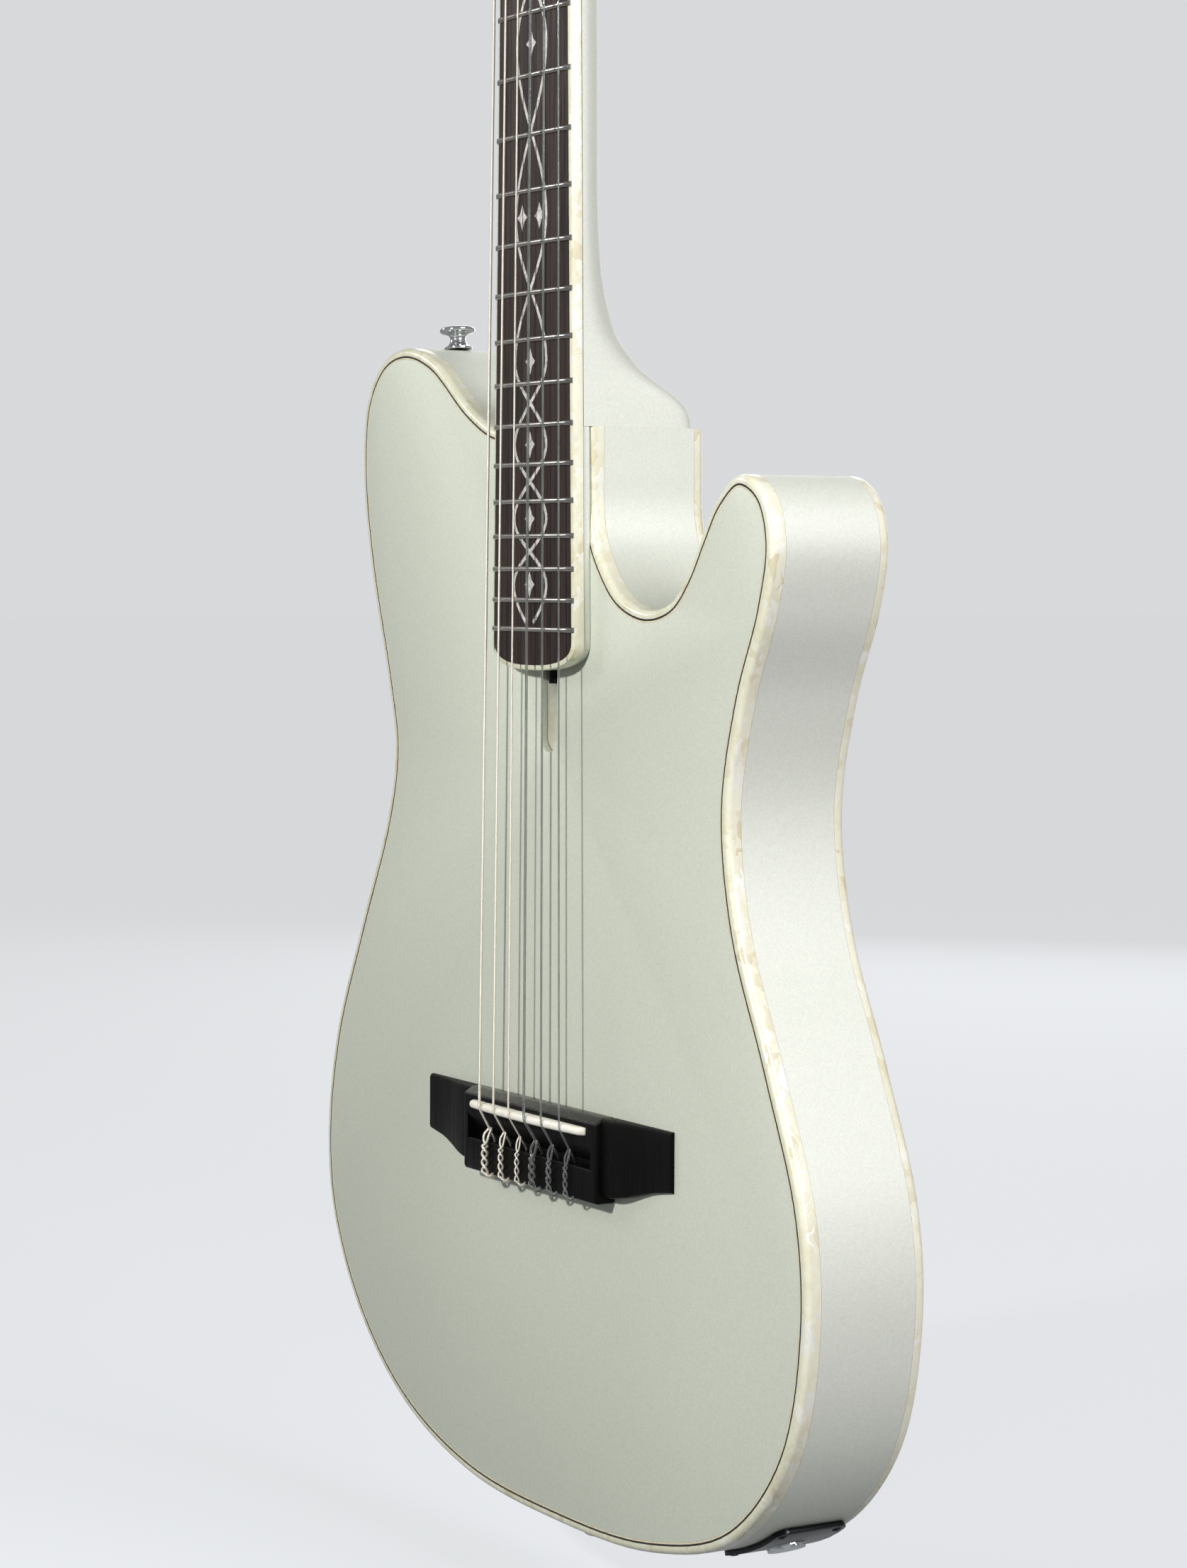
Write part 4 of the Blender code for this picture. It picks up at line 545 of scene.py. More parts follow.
# ABS from a spark-eroded mould: an even grain, drawn at 0.7 mm.
black_plastic, tree, shader, place = new_finish("moulded black ABS", Roughness=0.42)
grain = add_node(tree, "ShaderNodeTexNoise", Vector=place, Scale=1400.0, Detail=2.0)
abs_tone = add_node(tree, "ShaderNodeValToRGB", {"stops": ((0.3, "#111111"), (0.7, "#1B1B1B"))},
                    Fac=grain.outputs[0])
dimples = add_node(tree, "ShaderNodeBump", Height=grain.outputs[0], Distance=0.00004, Strength=0.4)
connect(tree, shader, Base_Color=abs_tone.outputs[0], Normal=dimples.outputs[0])

# Pearl plastic for the buttons: swirls about 6 mm long under a clear skin.
white_pearl = mottled("white pearl plastic", 160.0, ((0.3, "#C9C8C0"), (0.5, "#E4E3DC"), (0.7, "#F6F5F1")),
                      {"Detail": 3.0, "Distortion": 2.5}, Roughness=0.2, Coat_Weight=0.3)

# Shell is sliced across its layers, so bands 2 mm wide turn from grey to rose.
SHELL = ((0.30, "#A3A19C"), (0.44, "#C6C8C2"), (0.56, "#DDD3CC"), (0.70, "#EFEFEA"))
shell_pearl = mottled("mother of pearl", 420.0, SHELL, {"Detail": 2.0, "Distortion": 1.5},
                      Roughness=0.18, Metallic=0.2, Coat_Weight=0.3)

# %% Strings
# Trebles are clear extruded nylon, basses are silk wrapped with silvered wire of
# 0.1 mm. The turns are drawn at 0.5 mm, as coarse as the render can show.
nylon = mottled("clear nylon", 160.0, ((0.3, "#A6AAA5"), (0.7, "#BBBFBA")), {}, Roughness=0.06, IOR=1.53,
                Transmission_Weight=0.8)

DRAWN_TURN = 0.0005
silver_winding, tree, shader, place = new_finish("silvered string winding", Metallic=0.55, Roughness=0.38)
turns = add_node(tree, "ShaderNodeTexWave", {"bands_direction": 'Z'}, Vector=place,
                 Scale=math.tau / 20 / DRAWN_TURN)
wound_tone = add_node(tree, "ShaderNodeValToRGB", {"stops": ((0.1, "#CFC8B8"), (0.6, "#F0EADC"))},
                      Fac=turns.outputs[1])
ridges = add_node(tree, "ShaderNodeBump", Height=turns.outputs[1], Distance=0.0001, Strength=0.6)
connect(tree, shader, Base_Color=wound_tone.outputs[0], Normal=ridges.outputs[0])
print("finishes made:", len(bpy.data.materials))

# %% [markdown]
# ## The body's outline
# One curve through measured points gives the shape of the top, the back and the
# sides. Cutting it finely here keeps the edge of the body smooth in the picture.

# %% Outline curve
OUTLINE = (
    (HEEL_HALF, HEEL_RISE), (HEEL_HALF, HEEL_RISE - 0.0145), (HEEL_HALF + 0.0003, 0.2210),
    (0.0315, 0.2105), (0.0375, 0.2010), (0.0485, 0.1906), (0.0660, 0.1854),
    (0.0825, 0.1886), (0.0928, 0.1978), (0.1016, 0.2102), (0.1115, 0.2232),
    (0.1255, 0.2314), (0.1400, 0.2250), (0.1462, 0.2085), (0.1415, 0.1855),
    (0.1285, 0.1555), (0.1199, 0.1180), (0.1265, 0.0780), (0.1470, 0.0340),
    (0.1666, -0.0130), (0.1698, -0.0520), (0.1585, -0.0960), (0.1260, -0.1295),
    (0.0720, -0.1458), (0.0030, -0.1492), (-0.0620, -0.1448), (-0.1150, -0.1274),
    (-0.1525, -0.0984), (-0.1753, -0.0620), (-0.1803, -0.0300), (-0.1725, 0.0115),
    (-0.1505, 0.0580), (-0.1275, 0.1035), (-0.1215, 0.1300), (-0.1270, 0.1540),
    (-0.1430, 0.2035), (-0.1490, 0.2380), (-0.1458, 0.2650), (-0.1325, 0.2805),
    (-0.1135, 0.2852), (-0.0905, 0.2795), (-0.0625, 0.2610), (-0.0470, 0.2534),
    (-0.0380, 0.2510), (-HEEL_HALF, HEEL_RISE),
)


def smooth_curve(knots, steps):
    """A curve through knots, with tangents weighed by the root of each chord."""
    points = [Vector(knot) for knot in knots]
    spans = [math.sqrt((b - a).length) for a, b in zip(points, points[1:])]
    slopes = [(points[1] - points[0]) / spans[0]]
    for i in range(1, len(points) - 1):
        into = (points[i] - points[i - 1]) / spans[i - 1]
        out = (points[i + 1] - points[i]) / spans[i]
        slopes.append((into * spans[i] + out * spans[i - 1]) / (spans[i - 1] + spans[i]))
    slopes.append((points[-1] - points[-2]) / spans[-1])
    curve = []
    for i, span in enumerate(spans):
        for step in range(steps):
            t = step / steps
            curve.append((2 * t ** 3 - 3 * t * t + 1) * points[i]
                         + (t ** 3 - 2 * t * t + t) * span * slopes[i]
                         + (3 * t * t - 2 * t ** 3) * points[i + 1]
                         + (t ** 3 - t * t) * span * slopes[i + 1])
    return curve + [points[-1]]


def inward(direction):
    return Vector((direction.y, -direction.x)).normalized()


def offset(path, inset, closed):
    """Move a clockwise path of (x, rise) points inwards with mitred corners."""
    moved, last = [], len(path) - 1
    for i, point in enumerate(path):
        normals = []
        if i > 0 or closed:
            normals.append(inward(point - path[i - 1]))
        if i < last or closed:
            normals.append(inward(path[(i + 1) % len(path)] - point))
        middle = sum(normals, Vector((0.0, 0.0))).normalized()
        moved.append(point + middle * inset / max(middle.dot(normals[0]), 0.4))
    return moved


EDGE_STEPS = 8
edge = smooth_curve(OUTLINE, EDGE_STEPS)
print("outline points:", len(edge))


# %% Sweeping a profile round the body
def place_at(point, y):
    return Vector((point.x, y, SADDLE_Z + point.y))


def sweep_round(name, path, profile, closed):
    """Carry a closed profile of (inset, y) points along a path and close its ends."""
    lines = [(offset(path, inset, closed), y) for inset, y in profile]
    lines.append(lines[0])
    rows = [[place_at(line[i], y) for line, y in lines] for i in range(len(path))]
    if closed:
        rows.append(rows[0])
    piece = grid_on(name, rows)
    tidy_mesh(piece, fill=not closed)
    return piece


# %% [markdown]
# ## Edging and sides
# The front edge is a strip of pearloid let into the corner of the body and
# scraped round. A black line with a paler one inside it sets it off from the
# top. The back edge is narrower. The sides between them are bent wood.

# %% Front and back edging
BINDING_WIDTH = 0.003
FRONT_BINDING_HEIGHT = 0.0058
BACK_BINDING_HEIGHT = 0.0042
BINDING_ROUND = 0.0022


def edging_profile(height):
    """Inset and depth of a strip whose outer corner is scraped round."""
    turns = [math.pi / 2 * k / 6 for k in range(7)]
    scraped = [(BINDING_ROUND * (1 - math.sin(turn)), BINDING_ROUND * (1 - math.cos(turn))) for turn in turns]
    return scraped + [(0.0, height), (BINDING_WIDTH, height), (BINDING_WIDTH, 0.0)]


front_binding = sweep_round("front_edging", edge, edging_profile(FRONT_BINDING_HEIGHT), False)
settle(front_binding, "guitar", pearloid, ["top_binding"])
back_profile = [(inset, BODY_DEPTH - depth) for inset, depth in edging_profile(BACK_BINDING_HEIGHT)]
back_binding = sweep_round("back_edging", edge, back_profile, True)
settle(back_binding, "guitar", pearloid, ["back_binding"])

# %% Black line and maple line
LINE_WIDTH, LINE_DEPTH = 0.0006, 0.003


def strip_profile(outer, inner, front, rear):
    return [(outer, front), (outer, rear), (inner, rear), (inner, front)]


line_start = BINDING_WIDTH + 0.0001
pale_start = line_start + LINE_WIDTH + 0.00002
for name, start, finish, stands_for in (("black_line", line_start, black_fibre, ["top_purfling"]),
                                        ("pale_line", pale_start, maple_line, ())):
    line = sweep_round(name, edge, strip_profile(start, start + LINE_WIDTH, 0.0, LINE_DEPTH), False)
    settle(line, "guitar", finish, stands_for)

# %% Sides
RIM_THICKNESS = 0.0035
rim_front = FRONT_BINDING_HEIGHT + 0.00008
rim_back = BODY_DEPTH - BACK_BINDING_HEIGHT - 0.00008
sides = sweep_round("sides", edge, strip_profile(0.0, RIM_THICKNESS, rim_front, rim_back), True)
settle(sides, "guitar", lacquer, ["rim"])

# %% [markdown]
# ## Top and back
# The top is a thin flat plate. A slot below the fingerboard lets a key reach the
# truss rod, and its walls and floor are sprayed with the rest. The back is flat
# too, with a cover for the battery set flush in it.

# %% Top with the rod's slot
PLATE_THICKNESS = 0.003
SLOT_HALF, SLOT_END_RISE = 0.0059, 0.133


def slot_shape(half, low, high, y):
    """A slot that is square at its upper end and round at its lower one."""
    points = [Vector((half, high)), Vector((-half, high))]
    for k in range(17):
        turn = math.pi - math.pi * k / 16
        points.append(Vector((half * math.cos(turn), low + half - half * math.sin(turn))))
    return [place_at(p, y) for p in points]


top_outline = offset(edge, pale_start + LINE_WIDTH + 0.00005, True)
top = prism("top", [place_at(p, 0.0) for p in top_outline], (0, PLATE_THICKNESS, 0))
slot_outline = slot_shape(SLOT_HALF, SLOT_END_RISE, BOARD_END_RISE + 0.009, -0.002)
carve(top, prism("slot_tool", slot_outline, (0, 0.012, 0)))
soften(top, 0.0003, 2, 60)
settle(top, "guitar", lacquer, ["soundboard"])

# %% Sprayed well of the slot
WELL_TOP_RISE = BOARD_END_RISE + 0.0088
WELL_FLOOR, WELL_DEPTH, WELL_WALL = 0.0093, 0.0064, 0.0002
well = disc_on("rod_well", slot_shape(SLOT_HALF - 0.0003, SLOT_END_RISE + 0.0003, WELL_TOP_RISE, WELL_FLOOR))
edit(well)
bpy.ops.mesh.extrude_region_move(TRANSFORM_OT_translate={"value": (0, -WELL_DEPTH, 0)})
bpy.ops.mesh.delete(type='ONLY_FACE')
leave_edit()
tidy_mesh(well)
wall = well.modifiers.new("paint on wood", 'SOLIDIFY')
wall.thickness = WELL_WALL
wall.offset = -1
apply_modifiers(well)
tidy_mesh(well)
# The well wears the lighter lacquer, painted light against the slot's shade.
settle(well, "guitar", slot_lacquer_painted_light)

# %% Back and its cover
COVER_X, COVER_RISE = -0.070, -0.030
COVER_HALF_X, COVER_HALF_Z, COVER_CORNER = 0.044, 0.029, 0.004


def round_rect(low_a, high_a, low_b, high_b, radius):
    """Pairs of numbers along a rectangle with round corners."""
    pairs = []
    for k in range(4):
        a = high_a - radius if k in (0, 3) else low_a + radius
        b = high_b - radius if k in (0, 1) else low_b + radius
        for step in range(7):
            turn = math.pi / 2 * (k + step / 6)
            pairs.append((a + radius * math.cos(turn), b + radius * math.sin(turn)))
    return pairs


def cover_shape(name, gap, y, depth):
    """The cover's outline with a gap round it, lying in the face of the body."""
    half_x, half_z = COVER_HALF_X + gap, COVER_HALF_Z + gap
    pairs = round_rect(COVER_X - half_x, COVER_X + half_x, COVER_RISE - half_z, COVER_RISE + half_z,
                       COVER_CORNER)
    return prism(name, [place_at(Vector(pair), y) for pair in pairs], (0, depth, 0))


back_outline = offset(edge, BINDING_WIDTH + 0.0001, True)
back_start = BODY_DEPTH - PLATE_THICKNESS
back = prism("back", [place_at(p, back_start) for p in back_outline], (0, PLATE_THICKNESS, 0))
carve(back, cover_shape("recess_tool", 0.0002, BODY_DEPTH - 0.0017, 0.004))
settle(back, "guitar", lacquer, ["back_plate"])
cover = cover_shape("battery_cover", 0.0, BODY_DEPTH - 0.0015, 0.0014)
soften(cover, 0.0003, 2, 50)
settle(cover, "guitar", black_plastic, ["rear_cover"])


# %% Cover screws
def cross_screw(name, radius, height):
    """A domed screw head with a cross cut in it, standing at the origin."""
    dome = [(0.0, radius), (height * 0.35, radius), (height * 0.7, radius * 0.82),
            (height * 0.93, radius * 0.5), (height, radius * 0.2), (height, 0.0), (0.0, 0.0)]
    head = on_lathe(name, dome, 20)
    for turn in (0, math.pi / 2):
        carve(head, block("bar", (0, 0, height * 1.05), (radius * 1.1, radius * 0.22, height), turn))
    return head


SCREW_MARGIN = 0.004
small_screw = cross_screw("small_screw", 0.0017, 0.0006)
cover_screws = []
for side, end in ((1, 1), (1, -1), (-1, 1), (-1, -1)):
    spot = place_at(Vector((COVER_X + side * (COVER_HALF_X - SCREW_MARGIN),
                            COVER_RISE + end * (COVER_HALF_Z - SCREW_MARGIN))), BODY_DEPTH - 0.00055)
    cover_screws.append(copy_of(small_screw, "cover_screw", facing(spot, (0, 1, 0))))
settle(join_pieces("cover_screws", cover_screws), "guitar", plain_steel)

# %% [markdown]
# ## Neck
# Neck, heel and head are one piece of wood under the same lacquer. The section
# is a soft D along the neck, squares up where the heel meets the body and again
# below the head, and turns into the flat slotted head, which leans back twelve
# degrees.

# %% Neck and heel
NECK_FACE = -0.0026
NECK_BACK, NECK_BACK_NUT = 0.0120, 0.0108
HEEL_BACK = BODY_DEPTH - BACK_BINDING_HEIGHT - 0.0003
NECK_TOP = SCALE_LENGTH + NUT_LENGTH


def mix(start, end, share):
    return start + (end - start) * share


def squared(wave, power):
    """A sine or cosine pushed outwards, which turns a circle into a squarer oval."""
    return math.copysign(abs(wave) ** (2 / power), wave)


def board_half(rise):
    return mix(LAST_FRET_HALF, NUT_HALF, (rise - LAST_FRET_RISE) / (SCALE_LENGTH - LAST_FRET_RISE))


# (height over the heel's foot, share of the way to the heel's back, squareness)
HEEL = ((0.0, 1.0, 26), (0.0035, 0.99, 24), (0.0075, 0.95, 17), (0.0116, 0.84, 11), (0.0154, 0.70, 7.2),
        (0.0205, 0.51, 4.8), (0.0265, 0.355, 3.7), (0.0340, 0.205, 3.0), (0.0500, 0.065, 2.5),
        (0.0700, 0.0, 2.3))
stations = [(HEEL_RISE + 0.00002 + rise, mix(NECK_BACK, HEEL_BACK, share), power)
            for rise, share, power in HEEL]
shaft_foot = stations[-1][0]


def shaft_station(share, power):
    return mix(shaft_foot, NECK_TOP, share), mix(NECK_BACK, NECK_BACK_NUT, share), power


SQUARING_FROM = 0.92
stations += [shaft_station(*pair) for pair in ((0.2, 2.25), (0.5, 2.2), (0.8, 2.2), (SQUARING_FROM, 2.2))]
EASE = 0.0001  # squareness weighs this much, so that lengths alone ease the curve
eased = smooth_curve([(rise, y, power * EASE) for rise, y, power in stations], 5)
stations = [(p.x, p.y, p.z / EASE) for p in eased]

# Below the head the section's corner fills out gently, from the D's to a square one.
D_CORNER, SQUARE_CORNER = 0.7297, 0.974
for k in range(1, 13):
    share = k / 12
    corner = mix(D_CORNER, SQUARE_CORNER, share * share * (3 - 2 * share))
    stations.append(shaft_station(mix(SQUARING_FROM, 1.0, share), math.log(0.5) / math.log(corner)))

print("neck stations:", len(stations))

# %% Neck skin
FLARE_HEIGHT = 0.016
rings = []
for rise, back_y, power in stations:
    half = board_half(min(rise, SCALE_LENGTH)) - 0.00005
    flare = (HEEL_HALF - half) * max(0.0, 1 - (rise - HEEL_RISE) / FLARE_HEIGHT) ** 2
    ring = []
    for k in range(41):
        turn = math.pi * k / 40
        x, deep = half * squared(math.cos(turn), power), squared(math.sin(turn), power)
        if abs(x) > 0.001:
            x += flare * math.copysign(min(1.0, deep * 6), x)
        ring.append(Vector((x, mix(NECK_FACE, back_y, deep), SADDLE_Z + rise)))
    rings.append(ring)
neck = tube_on("neck_wood", rings)
print("neck skin", len(neck.data.polygons), "faces")

# %% Tongue under the fingerboard's end
BOARD_END_ROUND = 0.011
TONGUE_SETBACK, TONGUE_INSET, TONGUE_THICKNESS = 0.0004, 0.0003, 0.0024
ROD_HALF = 0.0033


def board_outline():
    """From the nut down the treble side, round the end and up the bass side."""
    centre = BOARD_END_RISE + BOARD_END_ROUND
    half = board_half(centre)
    points = [Vector((NUT_HALF, SCALE_LENGTH))]
    for turn in (math.pi * k / 24 for k in range(25)):
        across, down = squared(math.cos(turn), 2.7), squared(math.sin(turn), 2.7)
        points.append(Vector((half * across, centre - BOARD_END_ROUND * down)))
    return points + [Vector((-NUT_HALF, SCALE_LENGTH))]


tongue_top = HEEL_RISE + 0.004
half = board_half(tongue_top) - TONGUE_INSET
round_end = offset(board_outline(), TONGUE_INSET, False)[1:-1]
tongue_path = [Vector((half, tongue_top))]
tongue_path += [p + Vector((0.0, TONGUE_SETBACK)) for p in round_end]
tongue_path += [Vector((-half, tongue_top))]
tongue = prism("tongue", [place_at(p, NECK_FACE) for p in tongue_path], (0, TONGUE_THICKNESS, 0))
low, high = WELL_TOP_RISE, HEEL_RISE + 0.01
groove = [Vector((x, NECK_FACE - 0.001, SADDLE_Z + rise)) for x, rise in
          ((ROD_HALF, low), (ROD_HALF, high), (-ROD_HALF, high), (-ROD_HALF, low))]
carve(tongue, prism("rod_tool", groove, (0, 0.006, 0)))
carve(neck, tongue, 'UNION')
print("tongue length:", round((tongue_top - BOARD_END_RISE) * 1000, 1), "mm")

# %% Head outline and its frame
head_place = (Matrix.Translation((0.0, NECK_FACE, NUT_Z + NUT_LENGTH + 0.0006))
              @ Matrix.Rotation(-HEAD_TILT, 4, 'X'))
HEAD_SIDE = HEAD_HALF - 0.00005


def head_outline():
    """Shoulders, straight sides and a plain rounded crown, as (x, height) points."""
    shoulder = smooth_curve([(NUT_HALF - 0.0002, -0.001), (NUT_HALF + 0.0006, 0.006),
                             (NUT_HALF + 0.0040, 0.0120), (HEAD_HALF - 0.0025, 0.0175),
                             (HEAD_SIDE, 0.0240)], 5)
    crown = smooth_curve([(HEAD_SIDE, HEAD_LENGTH - 0.0300), (HEAD_HALF - 0.0030, HEAD_LENGTH - 0.0125),
                          (HEAD_HALF - 0.0120, HEAD_LENGTH - 0.0035),
                          (HEAD_HALF - 0.0240, HEAD_LENGTH - 0.0009), (0.0, HEAD_LENGTH - 0.0003)], 5)
    half = shoulder + crown
    return half + [Vector((-p.x, p.y)) for p in reversed(half[:-1])]


def head_prism(name, outline, front, rear):
    """An outline in the plane of the head, thickened from front to rear."""
    step = head_place.to_3x3() @ Vector((0, rear - front, 0))
    return prism(name, [head_place @ Vector((x, front, height)) for x, height in outline], step)


def roller_window(side, front, rear, margin=0.0):
    """A long window with round ends for three rollers."""
    pairs = round_rect(0.0080 - margin, 0.0248 + margin, 0.0194 - margin, 0.1306 + margin, 0.0055)
    return head_prism("window_tool", [(side * x, height) for x, height in pairs], front, rear)


print("head leans back", round(math.degrees(HEAD_TILT)), "degrees")

# %% Head on the neck
head = head_prism("head", head_outline(), 0.0, HEAD_THICKNESS - 0.00005)
neck_rear = NECK_BACK_NUT - NECK_FACE - 0.0008
SLOPE = ((neck_rear, -0.003), (neck_rear, 0.0005), (neck_rear + 0.0012, 0.0070),
         (HEAD_THICKNESS - 0.0008, 0.0150), (HEAD_THICKNESS, 0.0225), (HEAD_THICKNESS + 0.005, 0.0225),
         (HEAD_THICKNESS + 0.005, -0.003))
slope_outline = [head_place @ Vector((-0.05, rear, height)) for rear, height in SLOPE]
carve(head, prism("slope_tool", slope_outline, (0.1, 0, 0)))
soften(head, 0.0011, 3, 40)
carve(neck, head, 'UNION')
for side in (1, -1):
    carve(neck, roller_window(side, -0.004, HEAD_THICKNESS + 0.004))
tidy_mesh(neck)
settle(neck, "guitar", lacquer, ["neck"], 30)

# %% Head veneer
veneer = head_prism("head_face", head_outline(), -0.0015, -0.0003)
for side in (1, -1):
    carve(veneer, roller_window(side, -0.004, 0.004, 0.0003))
soften(veneer, 0.0003, 2, 60)
settle(veneer, "guitar", rosewood, ["head_veneer"])

# %% [markdown]
# ## Fingerboard
# The board is slightly crowned and widens towards the body. Its pearloid edge
# runs round the rounded end in one strip. Every fret is a rounded wire across
# the whole width, with its end dressed over the edging.

# %% Board
BOARD_EDGE = 0.0018


def crown_drop(x):
    return x * x / (2 * BOARD_RADIUS)


def board_section(left_x, right_x, rise):
    """Thirteen points across the crowned face, and two below it."""
    across = [mix(left_x, right_x, k / 12) for k in range(13)]
    face = [Vector((x, BOARD_FACE + crown_drop(x), SADDLE_Z + rise)) for x in across]
    return face + [Vector((x, BOARD_SEAT, SADDLE_Z + rise)) for x in (right_x, left_x)]


path = board_outline()
inner = offset(path, BOARD_EDGE + 0.0001, False)
middle = len(inner) // 2
rings = [board_section(left.x, right.x, left.y)
         for right, left in zip(inner[:middle], reversed(inner[middle + 1:]))]
rings.append(board_section(-0.001, 0.001, inner[middle].y))
settle(tube_on("board", rings), "guitar", rosewood, ["fingerboard"])

# %% Board edging
rings = []
for outer, far in zip(path, offset(path, BOARD_EDGE, False)):
    face_y = BOARD_FACE + crown_drop(outer.x) + 0.0001
    toward = (far - outer) / BOARD_EDGE
    rings.append([place_at(outer, BOARD_SEAT), place_at(outer, face_y + 0.0006),
                  place_at(outer + toward * 0.0002, face_y + 0.0002),
                  place_at(outer + toward * 0.0006, face_y), place_at(far, face_y - 0.00005),
                  place_at(far, BOARD_SEAT)])
settle(tube_on("board_edging", rings), "guitar", pearloid, ["fingerboard_binding"])

# %% Frets
FRET_HEIGHT, FRET_WIDTH, FRET_SUNK = 0.0010, 0.0020, 0.0002


def fret_rise(n):
    return SCALE_LENGTH * 2 ** (-n / 12)


def fret_half(n):
    return board_half(fret_rise(n)) - 0.0001


rings = []
for k in range(25):
    x = fret_half(1) * (k / 12 - 1)
    seat = BOARD_FACE + crown_drop(x) + FRET_SUNK
    dressed = min(1.0, (fret_half(1) - abs(x)) / 0.0009 + 0.28)
    turns = [math.pi * j / 10 for j in range(11)]
    rings.append([Vector((x, seat - (FRET_HEIGHT + FRET_SUNK) * math.sin(turn) ** 0.8 * dressed,
                          SADDLE_Z + fret_rise(1) + FRET_WIDTH / 2 * math.cos(turn))) for turn in turns])
frets = [tube_on("fret_1", rings)]
for n in range(2, FRET_COUNT + 1):
    twin = copy_of(frets[0], f"fret_{n}", Matrix.Translation((0, 0, fret_rise(n) - fret_rise(1))))
    for vertex in twin.data.vertices:
        x = vertex.co.x * fret_half(n) / fret_half(1)
        vertex.co.y += crown_drop(x) - crown_drop(vertex.co.x)
        vertex.co.x = x
    frets.append(twin)
settle(join_pieces("frets", frets), "guitar", nickel_silver, (), 40)

# %% [markdown]
# ## Pearl inlay
# Shell is sawn into slim ribbons and let into the board with black filler. Two
# ribbons swing across each other like a braid, and a lozenge marks each of the
# usual frets in the eye between them. They follow the crown of the board.

# %% Ribbons
MARKED_FRETS = (3, 5, 7, 9, 12, 15, 17, 19, 21)
RIBBON_HALF, RIBBON_SWING = 0.00075, 0.40
INLAY_DEPTH = 0.0004


def on_board(x, rise, lift):
    return Vector((x, BOARD_FACE + crown_drop(x) - lift, SADDLE_Z + rise))


eyes = [mix(fret_rise(n), fret_rise(n - 1), 0.5) for n in MARKED_FRETS]
knots = [eyes[0] + (eyes[0] - eyes[1]) * 1.1, *eyes, eyes[-1] - 0.016]
last = len(knots) - 2
inlay = []
for side in (1, -1):
    centre_line = []
    for n, (high, low) in enumerate(zip(knots, knots[1:])):
        for share in (step / 14 for step in range(14)):
            swing = math.cos(math.pi * (n - 1 + (share if n < last else 0)))
            if n == last:
                swing *= math.cos(math.pi / 2 * share)
            if n == 0:
                swing *= share
            rise = mix(high, low, share)
            centre_line.append(Vector((side * board_half(rise) * RIBBON_SWING * swing, rise)))
    lift = 0.00004 + 0.00002 * side
    rings = []
    for before, here, after in zip(centre_line, centre_line[1:], centre_line[2:]):
        across = Vector((after.y - before.y, before.x - after.x)).normalized() * RIBBON_HALF
        rings.append([on_board(*(here + across * hand), level) for hand, level in
                      ((-1, lift), (1, lift), (1, -INLAY_DEPTH), (-1, -INLAY_DEPTH))])
    inlay.append(tube_on("ribbon", rings))
print("ribbon sections:", len(rings))

# %% Lozenges
LOZENGE = ((0.0036, 0), (0.0015, 0.0015), (0, 0.0048), (-0.0015, 0.0015), (-0.0036, 0), (-0.0015, -0.0015),
           (0, -0.0048), (0.0015, -0.0015))
lozenge = prism("lozenge", [Vector((x, -0.00005, z)) for x, z in LOZENGE], (0, INLAY_DEPTH, 0))
for n, rise in zip(MARKED_FRETS, eyes):
    for shift in ((-0.0062, 0.0062) if n == 12 else (0.0,)):
        inlay.append(copy_of(lozenge, "lozenge", Matrix.Translation(on_board(shift, rise, 0.0))))
discard(lozenge)
settle(join_pieces("pearl_inlay", inlay), "guitar", shell_pearl)

# %% [markdown]
# ## Nut, bridge and saddle
# Bone carries the strings at both ends. The bridge is the classical tie kind,
# carved from one dark block: a ridge for the saddle, a trough, and a drilled
# block that the strings are looped round.

# %% Nut
NUT_PITCH, SADDLE_PITCH = 0.0078, 0.0117
STRING_LIFT = 0.0004
string_seat = BOARD_FACE - FRET_HEIGHT - STRING_LIFT
nut_front = string_seat - max(STRING_RADII)
nut = block("bone_nut", (0, (BOARD_SEAT + nut_front) / 2, NUT_Z + 0.0003 + (NUT_LENGTH - 0.0003) / 2),
            (2 * NUT_HALF, BOARD_SEAT - nut_front, NUT_LENGTH - 0.0003))
soften(nut, 0.0006, 3, 60)


def string_at_nut(i, z):
    x = (i - 2.5) * NUT_PITCH
    return Vector((x, string_seat + crown_drop(x) - STRING_RADII[i], z))


def saddle_x(i):
    return (i - 2.5) * SADDLE_PITCH


for i, radius in enumerate(STRING_RADII):
    centre = string_at_nut(i, NUT_Z)
    carve(nut, block("mouth", centre - Vector((0, 0.001, 0)), (2 * radius + 0.0002, 0.002, 0.02)))
    drill(nut, centre, radius + 0.0001, 0.02)
settle(nut, "guitar", bone, ["nut"])

# %% Bridge block
BRIDGE_HALF, BLOCK_HALF, TROUGH_HALF = 0.088, 0.0485, 0.0452
BRIDGE_UPPER, BRIDGE_LOWER = 0.0056, 0.0253
BRIDGE_HEIGHT, TROUGH_HEIGHT = 0.0085, 0.0040
TROUGH_START, TROUGH_END = 0.0110, 0.0130


def bridge_prism(name, section, half):
    """A section of (height over the saddle line, y) points, drawn across the bridge."""
    return prism(name, [Vector((-half, y, SADDLE_Z + z)) for z, y in section], (2 * half, 0, 0))


